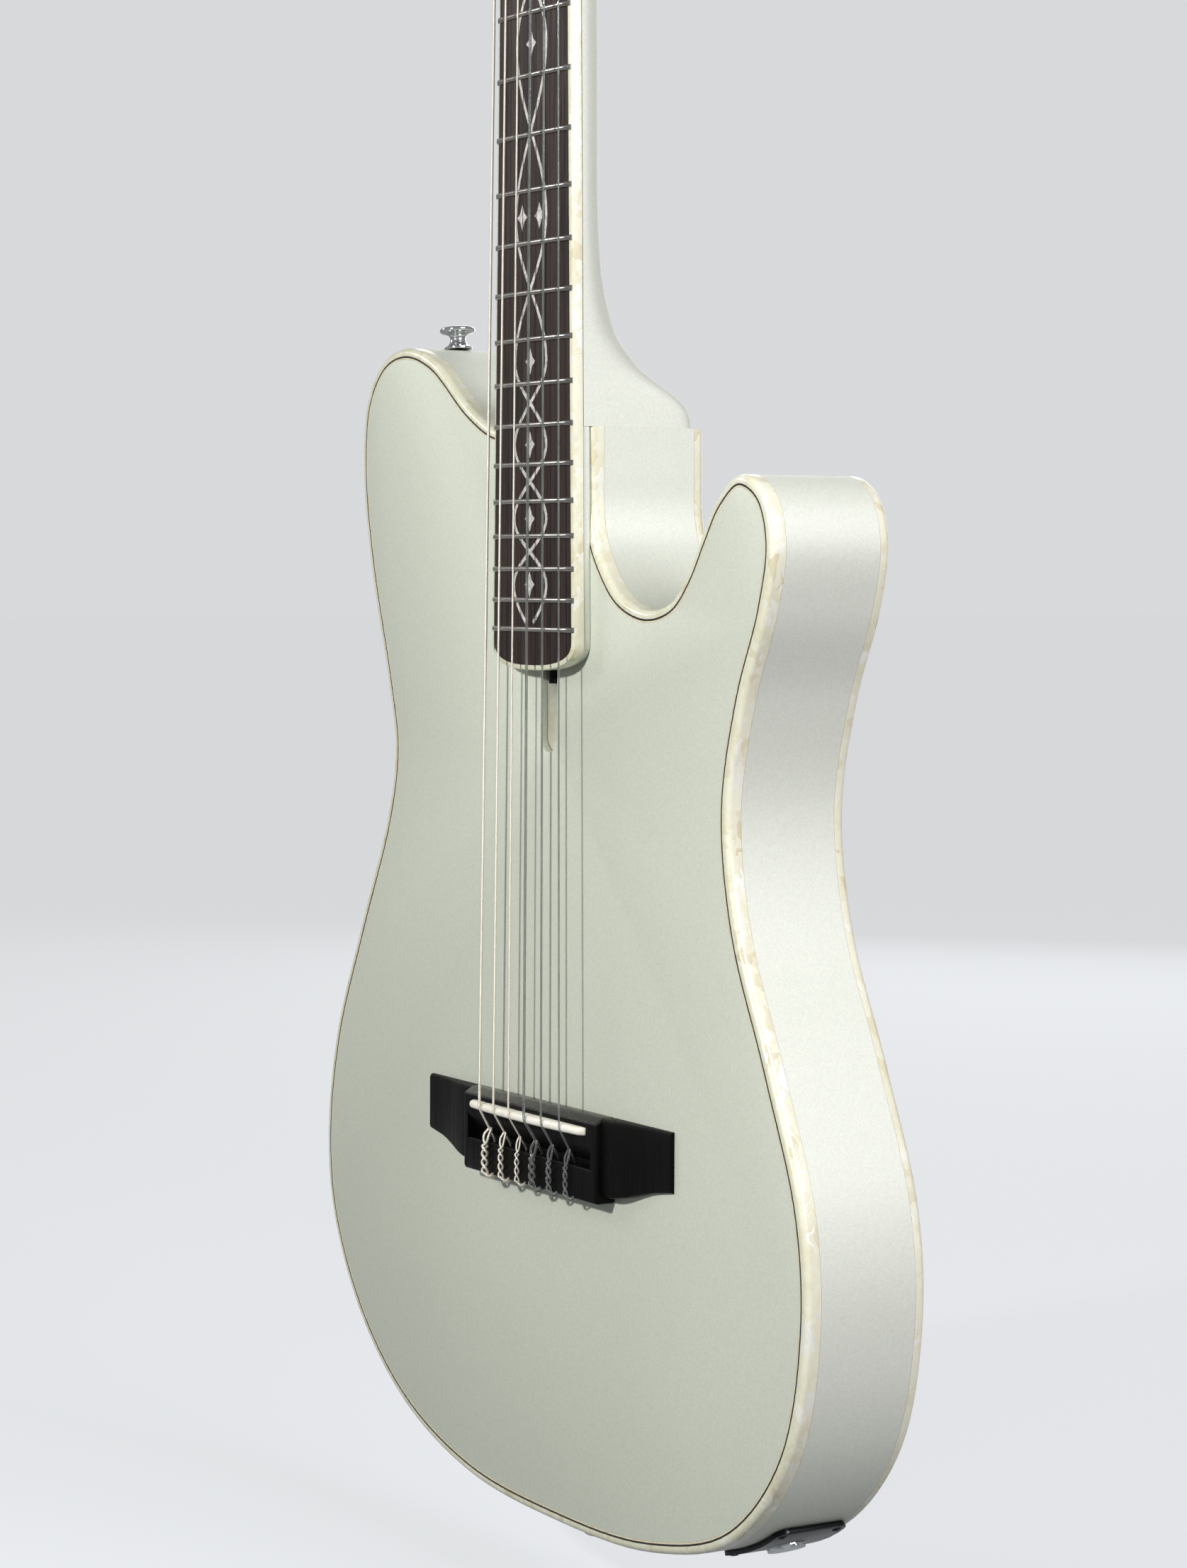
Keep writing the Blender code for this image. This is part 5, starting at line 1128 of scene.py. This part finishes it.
bridge = bridge_prism("bridge_wood", (
    (BRIDGE_UPPER, -0.0001), (BRIDGE_UPPER, -0.0050), (BRIDGE_UPPER - 0.0003, -0.0056),
    (BRIDGE_UPPER - 0.0019, -BRIDGE_HEIGHT + 0.0003), (BRIDGE_UPPER - 0.0026, -BRIDGE_HEIGHT),
    (-BRIDGE_LOWER + 0.0014, -BRIDGE_HEIGHT), (-BRIDGE_LOWER + 0.0004, -BRIDGE_HEIGHT + 0.0005),
    (-BRIDGE_LOWER, -BRIDGE_HEIGHT + 0.0014), (-BRIDGE_LOWER, -0.0001)), BLOCK_HALF)
soften(bridge, 0.0009, 3, 60)
carve(bridge, bridge_prism("trough_tool", (
    (-0.0036, -BRIDGE_HEIGHT - 0.001), (-0.0038, -BRIDGE_HEIGHT), (-0.0052, -BRIDGE_HEIGHT + 0.0006),
    (-TROUGH_START, -TROUGH_HEIGHT), (-TROUGH_END, -TROUGH_HEIGHT),
    (-TROUGH_END - 0.0002, -BRIDGE_HEIGHT + 0.0004), (-TROUGH_END - 0.0007, -BRIDGE_HEIGHT),
    (-TROUGH_END - 0.0009, -BRIDGE_HEIGHT - 0.001)), TROUGH_HALF))

print("bridge block", len(bridge.data.polygons), "faces")

# %% Bridge wings
WING_HEIGHT, WING_TIP_HEIGHT, WING_LOWER = 0.0062, 0.0018, 0.0160
# (share of the way to the tip, lower edge below the tip's, share of the fall in height)
WING_SWEEP = ((-0.06, 0.0066, 0.0), (0.14, 0.0064, 0.10), (0.30, 0.0055, 0.30), (0.50, 0.0036, 0.62),
              (0.72, 0.0016, 0.86), (1.0, 0.0, 1.0))
for side in (1, -1):
    rings = []
    for share, reach, fall in smooth_curve(WING_SWEEP, 5):
        x = side * mix(BLOCK_HALF, BRIDGE_HALF - 0.00005, share)
        low, high = WING_LOWER + reach, BRIDGE_UPPER - 0.0003
        tall = mix(WING_HEIGHT, WING_TIP_HEIGHT, fall)
        rings.append([Vector((x, y, SADDLE_Z + z)) for z, y in
                      ((high, -0.0001), (high, -tall + 0.0012), (high - 0.0004, -tall + 0.0004),
                       (high - 0.0014, -tall), (-low + 0.0014, -tall), (-low + 0.0004, -tall + 0.0004),
                       (-low, -tall + 0.0012), (-low, -0.0001))])
    carve(bridge, tube_on("wing", rings), 'UNION')
print("bridge with wings", len(bridge.data.polygons), "faces")

# %% Saddle slot and string holes
SADDLE_HALF, SADDLE_THICKNESS, SADDLE_TOP = 0.0415, 0.0030, 0.0129
HOLE_HEIGHT = 0.0056
carve(bridge, block("slot_tool", (0, -0.0085, SADDLE_Z),
                    (2 * SADDLE_HALF + 0.0002, 0.0118, SADDLE_THICKNESS + 0.0002)))
for i in range(6):
    drill(bridge, (saddle_x(i), -HOLE_HEIGHT, SADDLE_Z - 0.019), 0.0010, 0.020)
tidy_mesh(bridge)
settle(bridge, "guitar", ebony, ["bridge"], 30)

# The upward-facing faces of the block's rounded upper edge get a glossier ebony painted lighter: the gloss is
# polish, the lighter colour a painted reflection of the top.
bridge.data.materials.append(ebony_with_painted_sheen)
for face in bridge.data.polygons:
    centre = face.center
    on_block = centre.z > SADDLE_Z + BRIDGE_UPPER - 0.0030 and abs(centre.x) < BLOCK_HALF + 0.0001
    if on_block and face.normal.z > 0.35:
        face.material_index = 1

# %% Saddle
rings = []
for k in range(65):
    share = k / 32 - 1
    x = (SADDLE_HALF - 0.0001) * share
    corner = 0.045 if share < 0 else 0.075
    end_fall = max(0.0, abs(share) - 1 + corner) / corner
    front = -SADDLE_TOP + crown_drop(x) + 0.0026 * end_fall ** 2
    half = SADDLE_THICKNESS / 2
    rings.append([Vector((x, y, SADDLE_Z + half * z)) for z, y in
                  ((-1, -0.0037), (-1, front + 0.0013), (-0.8, front + 0.0005), (-0.4, front + 0.0001),
                   (0.0, front), (0.4, front + 0.0001), (0.8, front + 0.0005), (1, front + 0.0013),
                   (1, -0.0037))])
settle(tube_on("bone_saddle", rings), "guitar", bone, ["saddle"], 40)

# %% [markdown]
# ## Strings
# Each string comes up over the saddle, dips through its hole in the tie block,
# turns back over the block and is twisted round itself one and a half times. At
# the other end it bends over the nut and runs to its roller.

# %% Wires
def wire(name, points, radius):
    """A curve with a round section, made a mesh."""
    deselect_all()
    bpy.ops.curve.primitive_nurbs_path_add(enter_editmode=False)
    line = bpy.context.object
    line.name = name
    line.data.splines.clear()
    spline = line.data.splines.new('POLY')
    spline.points.add(len(points) - 1)
    for slot, point in zip(spline.points, points):
        slot.co = (*point, 1.0)
    line.data.bevel_depth = radius
    line.data.bevel_resolution = 3
    line.data.use_fill_caps = True
    pick(line)
    bpy.ops.object.convert(target='MESH')
    return bpy.context.object


def round_corners(points, radius):
    """Replace each corner of a path by a short arc of five points."""
    soft = [points[0]]
    for before, corner, after in zip(points, points[1:], points[2:]):
        back, fore = before - corner, after - corner
        reach = min(radius, back.length * 0.45, fore.length * 0.45)
        start, end = corner + back.normalized() * reach, corner + fore.normalized() * reach
        for t in (0.0, 0.25, 0.5, 0.75, 1.0):
            soft.append((1 - t) ** 2 * start + 2 * t * (1 - t) * corner + t * t * end)
    return soft + [points[-1]]


# %% Ties at the bridge
TWISTS = 1.5


def tie_points(i):
    """Saddle, hole, back over the block, twisted strands, eye and tail, in their order."""
    def spot(aside, y, z):
        return Vector((saddle_x(i) + aside, y, z))

    radius = STRING_RADII[i]
    top_y = -SADDLE_TOP + crown_drop(saddle_x(i)) - radius - 0.00005
    over = -BRIDGE_HEIGHT - radius * 2.6 - 0.0001
    rear = SADDLE_Z - BRIDGE_LOWER - radius - 0.0002
    lead = [spot(0, top_y, SADDLE_Z), spot(0, -HOLE_HEIGHT, SADDLE_Z - TROUGH_END + 0.0008),
            spot(0, -HOLE_HEIGHT, rear + 0.0004), spot(0, -HOLE_HEIGHT - 0.0010, rear - 0.0004),
            spot(0, over + 0.0012, rear - 0.0003)]
    start_z, end_z = SADDLE_Z - BRIDGE_LOWER + 0.0012, SADDLE_Z - TROUGH_END - 0.0014
    up_strand, down_strand = [], []
    for t in (k / 36 for k in range(37)):
        turn = math.tau * TWISTS * t + 0.4
        swing, lift = radius * 2.4 * math.sin(turn), radius * 1.6 * math.cos(turn)
        up_strand.append(spot(swing, over + lift, mix(start_z, end_z, t)))
        down_strand.append(spot(-swing, over - lift, mix(start_z, end_z, t)))
    lead_y = mix(top_y, -HOLE_HEIGHT, 0.56)
    eye = [spot(radius * 2.2, over + 0.0003, end_z + 0.0014),
           spot(radius * 3.3, over + 0.0005, end_z + 0.0036),
           spot(radius * 1.7, lead_y + radius * 1.8, end_z + 0.0064),
           spot(-radius * 1.3, lead_y + radius * 2.0, end_z + 0.0066),
           spot(-radius * 3.2, over + 0.0005, end_z + 0.0040),
           spot(-radius * 2.2, over + 0.0002, end_z + 0.0015)]
    tail = [spot(0.0006, over + 0.0006, start_z - 0.0012), spot(0.0017, over + 0.0009, start_z - 0.0015),
            spot(0.0031, over + 0.0010, start_z - 0.0011), spot(0.0042, over + 0.0009, start_z - 0.0002)]
    return [*lead, *up_strand, *eye, *reversed(down_strand), *tail]


# %% Strings from the bridge to the rollers
ROLLERS = (0.045, 0.080, 0.115)
ROLLER_DEPTH, ROLLER_RADIUS = 0.0075, 0.005
WINDING_STARTS = (0.0175, 0.0150, 0.0125)
WINDING_TURNS = 2.25


def side_of(i):
    return -1 if i < 3 else 1


def level_of(i):
    """The roller, counted from the nut, that string i runs to."""
    return i if i < 3 else 5 - i


for i, radius in enumerate(STRING_RADII):
    level = level_of(i)
    roller = ROLLERS[level]
    wrap = ROLLER_RADIUS + 0.0003 + radius
    nut_back = string_at_nut(i, NUT_Z + NUT_LENGTH - 0.0005)
    local = head_place.inverted() @ nut_back
    reach = Vector((roller - local.z, ROLLER_DEPTH - local.y))
    length = math.sqrt(reach.length ** 2 - wrap ** 2)
    heading = math.atan2(reach.y, reach.x) - math.asin(wrap / reach.length)
    start_x = side_of(i) * WINDING_STARTS[level]
    touch = Vector((start_x, local.y + length * math.sin(heading), local.z + length * math.cos(heading)))
    line_way = (touch - local).normalized()
    stub = touch - line_way * 0.0042
    slot, finish = ("wound", silver_winding) if i < 3 else ("nylon", nylon)
    path_points = [head_place @ stub, nut_back, string_at_nut(i, NUT_Z + 0.0003), *tie_points(i)]
    string = wire(f"string_line_{i + 1}", round_corners(path_points, 0.0012), radius)
    settle(string, "guitar", finish, [f"string_{i + 1}"], 60)

    pitch = 2 * radius + 0.0005
    first = math.atan2(touch.z - roller, ROLLER_DEPTH - touch.y)
    coil = [stub + line_way * 0.0002, touch]
    for turn in (k / 32 for k in range(1, round(WINDING_TURNS * 32) + 1)):
        angle = first + math.tau * turn
        coil.append(Vector((start_x + side_of(i) * pitch * turn, ROLLER_DEPTH - wrap * math.cos(angle),
                            roller + wrap * math.sin(angle))))
    winding = wire(f"string_turns_{i + 1}", [head_place @ p for p in coil], radius)
    settle(winding, f"roller_{i + 1}", finish, [f"string_winding_{i + 1}"], 60)

# %% [markdown]
# ## Tuning machines
# Each side of the head carries a plate with three machines. A worm on the key's
# shaft turns a fourteen-tooth gear on the end of a roller. Gear and worm share one
# lead, so their teeth meet. One of each is modelled and copied.

# %% Gear
GEAR_X = 0.04065
GEAR_TEETH, GEAR_RADIUS, GEAR_HALF = 14, 0.005, 0.00175
TOOTH = 0.00055
WORM_RADIUS = 0.0023
WORM_PITCH = math.tau * GEAR_RADIUS / GEAR_TEETH
WORM_OFFSET = GEAR_RADIUS + WORM_RADIUS
lead_slope = WORM_PITCH / (math.tau * WORM_RADIUS)
along_x = facing((0, 0, 0), (1, 0, 0))
rings = []
for k in range(5):
    x = GEAR_HALF * (k / 2 - 1)
    ring = []
    for tooth in range(GEAR_TEETH):
        for share, rise in ((-0.29, -1.45), (-0.10, 0.85), (0.10, 0.85), (0.29, -1.45)):
            radius = GEAR_RADIUS + TOOTH * rise
            turn = (tooth + share) * math.tau / GEAR_TEETH + lead_slope * x / GEAR_RADIUS
            ring.append(Vector((x, radius * math.sin(turn), -radius * math.cos(turn))))
    rings.append(ring)
gear = tube_on("gear", rings)
soften(gear, 0.00012, 1, 50)
PIN_START = 0.0355 - GEAR_X
pin = on_lathe("pin", [(PIN_START, 0.0), (PIN_START, 0.003), (GEAR_HALF + 0.0003, 0.003),
                       (GEAR_HALF + 0.0005, 0.0027), (GEAR_HALF + 0.0005, 0.0)], 24)
pin.data.transform(along_x)
carve(gear, pin, 'UNION')
print("gear tooth pitch", round(WORM_PITCH * 1000, 3), "mm")

# %% Rollers
barrel = on_lathe("barrel", [(0.0036, 0.0), (0.0036, 0.0044), (0.0042, ROLLER_RADIUS),
                             (0.0348, ROLLER_RADIUS), (0.0354, 0.0044), (0.0354, 0.0)])
drill(barrel, (0, 0, 0.0125), 0.0009, 0.02, 16, (math.pi / 2, 0, 0))
barrel.data.transform(along_x)
for i in range(6):
    side = side_of(i)
    place_here = head_place @ Matrix.Translation((0, ROLLER_DEPTH, ROLLERS[level_of(i)]))
    turned = Matrix.Rotation(math.pi if side < 0 else 0.0, 4, 'Z')
    tube = copy_of(barrel, f"roller_barrel_{i + 1}", place_here @ turned)
    settle(tube, f"roller_{i + 1}", bone, [f"roller_{i + 1}"], 40)
    # The gear keeps the lead of its worm, so a bass gear is turned round, not mirrored.
    gear_place = place_here @ Matrix.Translation((side * GEAR_X, 0, 0)) @ turned
    settle(copy_of(gear, f"roller_gear_{i + 1}", gear_place), f"roller_{i + 1}", brass, (), 30)
    screw_place = place_here @ facing((side * (GEAR_X + GEAR_HALF + 0.00045), 0, 0), (side, 0, 0))
    settle(copy_of(small_screw, f"gear_screw_{i + 1}", screw_place), f"roller_{i + 1}", plain_steel)
discard(barrel, gear)

# %% Worm and shaft
SHAFT, COLLAR = 0.0013, 0.0021
WORM_END = 1.5 * WORM_PITCH
EAR_THICKNESS, EAR_GAP = 0.0014, 0.0003
BUTTON_START, BUTTON_LENGTH = 0.020 - ROLLER_DEPTH, 0.018
ear_end = WORM_END + 2 * EAR_GAP + EAR_THICKNESS
core = WORM_RADIUS - TOOTH * 1.45
rod = on_lathe("rod", [(-ear_end - 0.0008, 0.0), (-ear_end - 0.0008, COLLAR - 0.0003),
                       (-ear_end - 0.0005, COLLAR), (-ear_end, COLLAR), (-ear_end, SHAFT), (-WORM_END, SHAFT),
                       (-WORM_END, core), (WORM_END, core), (WORM_END, SHAFT), (ear_end, SHAFT),
                       (ear_end, COLLAR), (BUTTON_START - 0.0016, COLLAR), (BUTTON_START - 0.0014, 0.0026),
                       (BUTTON_START - 0.0004, 0.0029), (BUTTON_START + 0.0006, 0.0029),
                       (BUTTON_START + 0.0006, 0.0)], 28)
rod.data.transform(facing((0, 0, 0), (0, 1, 0)))
THREAD_TURNS, TURN_STEPS, RUN_OUT = 2.55, 28, 6
thread_steps = round(THREAD_TURNS * TURN_STEPS)
rings = []
for k in range(thread_steps + 1):
    swing = math.tau * (k / TURN_STEPS - THREAD_TURNS / 2)
    crest = mix(core, WORM_RADIUS + TOOTH * 0.8, min(1.0, k / RUN_OUT, (thread_steps - k) / RUN_OUT))
    ring = []
    for shift, radius in ((-0.21, core - 0.0001), (-0.08, crest), (0.08, crest), (0.21, core - 0.0001)):
        ring.append(Vector((radius * math.sin(swing + math.pi), WORM_PITCH * (swing / math.tau + shift),
                            radius * math.cos(swing + math.pi))))
    rings.append(ring)
worm = join_pieces("worm", [rod, tube_on("thread", rings)])
print("worm", len(worm.data.polygons), "faces")

# %% Buttons
# (height over the button's foot, half of its width, half of its thickness)
BUTTON = ((0.0, 0.0022, 0.0022), (0.0009, 0.0046, 0.0030), (0.0030, 0.0066, 0.0040),
          (0.0095, 0.0079, 0.00455), (0.0145, 0.0070, 0.0041), (0.0170, 0.0050, 0.0030),
          (0.0178, 0.0026, 0.0016), (BUTTON_LENGTH, 0.0006, 0.0004))
turns = [math.tau * k / 36 for k in range(36)]
button = tube_on("button", [[Vector((thick * math.sin(turn), BUTTON_START + height, wide * math.cos(turn)))
                             for turn in turns] for height, wide, thick in smooth_curve(BUTTON, 3)])
for i in range(6):
    spot = (side_of(i) * GEAR_X, ROLLER_DEPTH, ROLLERS[level_of(i)] - WORM_OFFSET)
    place_here = head_place @ Matrix.Translation(spot)
    settle(copy_of(worm, f"key_worm_{i + 1}", place_here), f"key_{i + 1}", plain_steel,
           [f"tuner_key_{i + 1}"], 30)
    settle(copy_of(button, f"key_button_{i + 1}", place_here), f"key_{i + 1}", white_pearl,
           (), 50)
discard(worm, button)

# %% Side plates
PLATE_NEAR, PLATE_FAR = HEAD_HALF + 0.0003, HEAD_HALF + 0.0015
plate_outline = round_rect(0.0012, 0.0158, ROLLERS[0] - WORM_OFFSET - 0.007, ROLLERS[2] + 0.014, 0.003)
plate = prism("side_plate", [Vector((PLATE_NEAR, *pair)) for pair in plate_outline],
              (PLATE_FAR - PLATE_NEAR, 0, 0))
soften(plate, 0.0003, 2, 60)
for height in ROLLERS:
    drill(plate, (PLATE_NEAR, ROLLER_DEPTH, height), 0.0033, 0.01, 24, (0, math.pi / 2, 0))
print("side plate", len(plate.data.polygons), "faces")

# %% Bearing ears and plate screws
EAR_HALF = 0.003
PLATE_SCREWS = (0.0605, 0.0955, 0.1245)
turns = [math.pi * k / 12 for k in range(1, 12)]
ear_outline = [(PLATE_FAR - 0.0004, -EAR_HALF), (GEAR_X, -EAR_HALF)]
ear_outline += [(GEAR_X + EAR_HALF * math.sin(turn), -EAR_HALF * math.cos(turn)) for turn in turns]
ear_outline += [(GEAR_X, EAR_HALF), (PLATE_FAR - 0.0004, EAR_HALF)]
ear = prism("ear", [Vector((x, 0, z)) for x, z in ear_outline], (0, EAR_THICKNESS, 0))
soften(ear, 0.0002, 2, 60)
drill(ear, (GEAR_X, 0, 0), SHAFT + 0.0003, 0.01, 20, (math.pi / 2, 0, 0))
parts = [plate]
for height in ROLLERS:
    for depth in (ROLLER_DEPTH - WORM_END - EAR_GAP - EAR_THICKNESS, ROLLER_DEPTH + WORM_END + EAR_GAP):
        parts.append(copy_of(ear, "ear", Matrix.Translation((0, depth, height - WORM_OFFSET))))
for height in PLATE_SCREWS:
    parts.append(copy_of(small_screw, "plate_screw", facing((PLATE_FAR - 0.0001, 0.0085, height), (1, 0, 0))))
discard(ear)
treble_plate = join_pieces("side_plate_treble", parts)
bass_plate = copy_of(treble_plate, "side_plate_bass", head_place @ Matrix.Diagonal((-1, 1, 1, 1)))
treble_plate.data.transform(head_place)
settle(treble_plate, "guitar", chrome, ["tuner_plate_treble"])
settle(bass_plate, "guitar", chrome, ["tuner_plate_bass"])

# %% [markdown]
# ## Fittings
# Two strap buttons of plated brass, two black knobs on the bass shoulder, and a
# dark plate bent to the body's curve that carries the output jack.

# %% Strap buttons
STRAP_BUTTON = ((0.0003, 0.0), (0.0003, 0.0053), (0.0005, 0.0055), (0.0011, 0.0055), (0.0013, 0.0052),
                (0.0014, 0.0046), (0.0020, 0.0040), (0.0030, 0.0033), (0.0042, 0.0030), (0.0053, 0.0031),
                (0.0061, 0.0038), (0.0067, 0.0052), (0.0070, 0.0063), (0.0074, 0.0068), (0.0078, 0.0069),
                (0.0083, 0.0068), (0.0087, 0.0063), (0.0090, 0.0052), (0.00915, 0.0038), (0.0090, 0.0034),
                (0.0083, 0.0032), (0.0083, 0.0))
strap_button = on_lathe("strap_button", STRAP_BUTTON, 40)
larger = Matrix.Diagonal((1.55, 1.55, 1.3, 1))
big_screw = copy_of(small_screw, "button_screw", Matrix.Translation((0, 0, 0.0083)) @ larger)
for where, spot, out in (("upper", (-0.1135, 0.024, -0.3628), (-0.11093, 0, 0.99383)),
                         ("lower", (0.0, 0.024, -0.79713), (-0.02386, 0, -0.99972))):
    settle(copy_of(strap_button, f"strap_button_{where}", facing(spot, out)), "guitar", chrome,
           [f"{where}_strap_button"], 40)
    settle(copy_of(big_screw, f"button_screw_{where}", facing(spot, out)), "guitar", plain_steel)
discard(strap_button, big_screw)

# %% Knobs
KNOB_AXIS = Vector((-0.99315, 0, -0.11682))
KNOB_FLUTES, KNOB_STEPS = 20, 120
# (height over the body, radius, depth of the flutes)
KNOB = ((-0.0095, 0.0005, 0), (-0.0095, 0.003, 0), (0.0003, 0.003, 0), (0.0003, 0.0066, 0),
        (0.0006, 0.0070, 0.0002), (0.0012, 0.0070, 0.0005), (0.0070, 0.0066, 0.0005),
        (0.0079, 0.0064, 0.0003), (0.0085, 0.0062, 0), (0.0091, 0.0058, 0), (0.0095, 0.0050, 0),
        (0.0093, 0.0040, 0), (0.0092, 0.0005, 0))
rings = []
for height, radius, flute in KNOB:
    ring = []
    for turn in (math.tau * k / KNOB_STEPS for k in range(KNOB_STEPS)):
        reach = radius - flute * max(0.0, math.cos(KNOB_FLUTES * turn))
        ring.append(Vector((reach * math.cos(turn), reach * math.sin(turn), height)))
    rings.append(ring)
knob = tube_on("knob", rings)
mark = block("mark", (0.0022, 0, 0.00925), (0.0036, 0.0006, 0.0003))
soften(mark, 0.0001, 2, 60)
for name, spot in (("volume_knob", (-0.14771, 0.024, -0.42092)), ("tone_knob", (-0.15029, 0.024, -0.39908))):
    settle(copy_of(knob, f"{name}_cap", facing(spot, KNOB_AXIS)), name, black_plastic,
           [name], 40)
    settle(copy_of(mark, f"{name}_mark", facing(spot, KNOB_AXIS)), name, bone)
discard(knob, mark)

# %% Walking along the body's edge
JACK_SPOT, JACK_DEPTH = Vector((0.115, -0.1356)), 0.029
jack_place = facing(Vector((0.11443, JACK_DEPTH, -0.7822)), (0.37628, 0, -0.92651))
jack_on_edge = Vector((jack_place.translation.x, jack_place.translation.z - SADDLE_Z))
lengths = [0.0]
for here, ahead in zip(edge, edge[1:]):
    lengths.append(lengths[-1] + (ahead - here).length)
nearest = min(range(len(edge)), key=lambda k: (edge[k] - JACK_SPOT).length)
edge_way = (edge[nearest + 1] - edge[nearest - 1]).normalized()
middle_at = lengths[nearest] + (jack_on_edge - edge[nearest]).dot(edge_way)


def along_edge(distance):
    k = max(n for n in range(len(edge) - 1) if lengths[n] <= distance)
    return edge[k].lerp(edge[k + 1], (distance - lengths[k]) / (lengths[k + 1] - lengths[k]))


print("jack at", round(middle_at * 1000, 1), "mm along the edge")

# %% Jack plate
PLATE_HALF, PLATE_REACH, END_FROM = 0.0145, 0.020, 0.79
upper_end = [END_FROM, 0.86, 0.92, 0.96, 0.99, 1]
steps = [-step for step in reversed(upper_end)] + [k / 10 for k in range(-7, 8)] + upper_end
walk = [along_edge(middle_at + PLATE_REACH * step) for step in steps]
rings = []
for step, inside, outside in zip(steps, offset(walk, -0.0003, False), offset(walk, -0.0021, False)):
    past = max(0.0, abs(step) - END_FROM) / (1 - END_FROM)
    half = PLATE_HALF - 0.0042 * (1 - math.sqrt(max(0.0, 1 - past * past)))
    front, rear = JACK_DEPTH - half, JACK_DEPTH + half
    rings.append([place_at(inside, front), place_at(inside, rear), place_at(outside, rear),
                  place_at(outside, front)])
jack_plate = tube_on("jack_cover", rings)
soften(jack_plate, 0.0005, 3, 50)
jack_hole = on_lathe("jack_hole", [(-0.01, 0.0), (-0.01, 0.005), (0.01, 0.005), (0.01, 0.0)])
jack_hole.data.transform(jack_place)
carve(jack_plate, jack_hole)
screws = []
for distance in (middle_at - PLATE_REACH * 0.8, middle_at + PLATE_REACH * 0.8):
    spot = along_edge(distance)
    ahead = (along_edge(distance + 0.001) - spot).normalized()
    out = Vector((-ahead.y, 0, ahead.x))
    for y in (JACK_DEPTH - 0.0112, JACK_DEPTH + 0.0112):
        screws.append(copy_of(small_screw, "jack_screw", facing(place_at(spot, y) + out * 0.0020, out)))
settle(jack_plate, "guitar", dark_plating, ["jack_plate"])
settle(join_pieces("jack_screws", screws), "guitar", dark_plating)

# %% Jack
JACK = ((-0.0243, 0.0035), (-0.0243, 0.0065), (-0.0043, 0.0065), (-0.0043, 0.0047), (0.0024, 0.0047),
        (0.0024, 0.0068), (0.0028, 0.0072), (0.0031, 0.0072), (0.0033, 0.0062), (0.0046, 0.0058),
        (0.0046, 0.0040), (0.0041, 0.0035))
jack = on_lathe("jack_barrel", JACK, 36)
jack.data.transform(jack_place)
settle(jack, "guitar", chrome, ["output_jack"], 40)
deselect_all()
bpy.ops.mesh.primitive_cylinder_add(vertices=6, radius=0.0068, depth=0.0018, location=(0, 0, 0.0036))
hex_nut = bpy.context.object
hex_nut.name = "jack_nut"
apply_place(hex_nut)
soften(hex_nut, 0.0003, 2, 50)
carve(hex_nut, on_lathe("bore_tool", [(0.0, 0.0), (0.0, 0.0056), (0.01, 0.0056), (0.01, 0.0)]))
hex_nut.data.transform(jack_place)
settle(hex_nut, "guitar", chrome)
discard(small_screw)

# %% [markdown]
# ## What stays as it is
# Linings, blocks, braces and the parts inside keep the model's own shape, which
# is plain in the real one too. They only get their material.

# %% Finishes for the parts inside
WOODEN = ("top_lining", "back_lining", "neck_block", "tail_block", "top_brace", "bridge_pad",
          "upper_back_brace", "lower_back_brace")
# The truss rod nut is near-black as painted shade at the top of the slot.
for finish, names in ((inner_wood, WOODEN), (steel_darkened_as_shade, ("truss_rod", "truss_rod_nut")),
                      (brass, ("piezo_strip",)), (plain_steel, ("battery",)), (black_plastic, ("preamp",))):
    for name in names:
        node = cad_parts[name]
        node.data.materials.clear()
        node.data.materials.append(finish)
print("kept nodes painted")
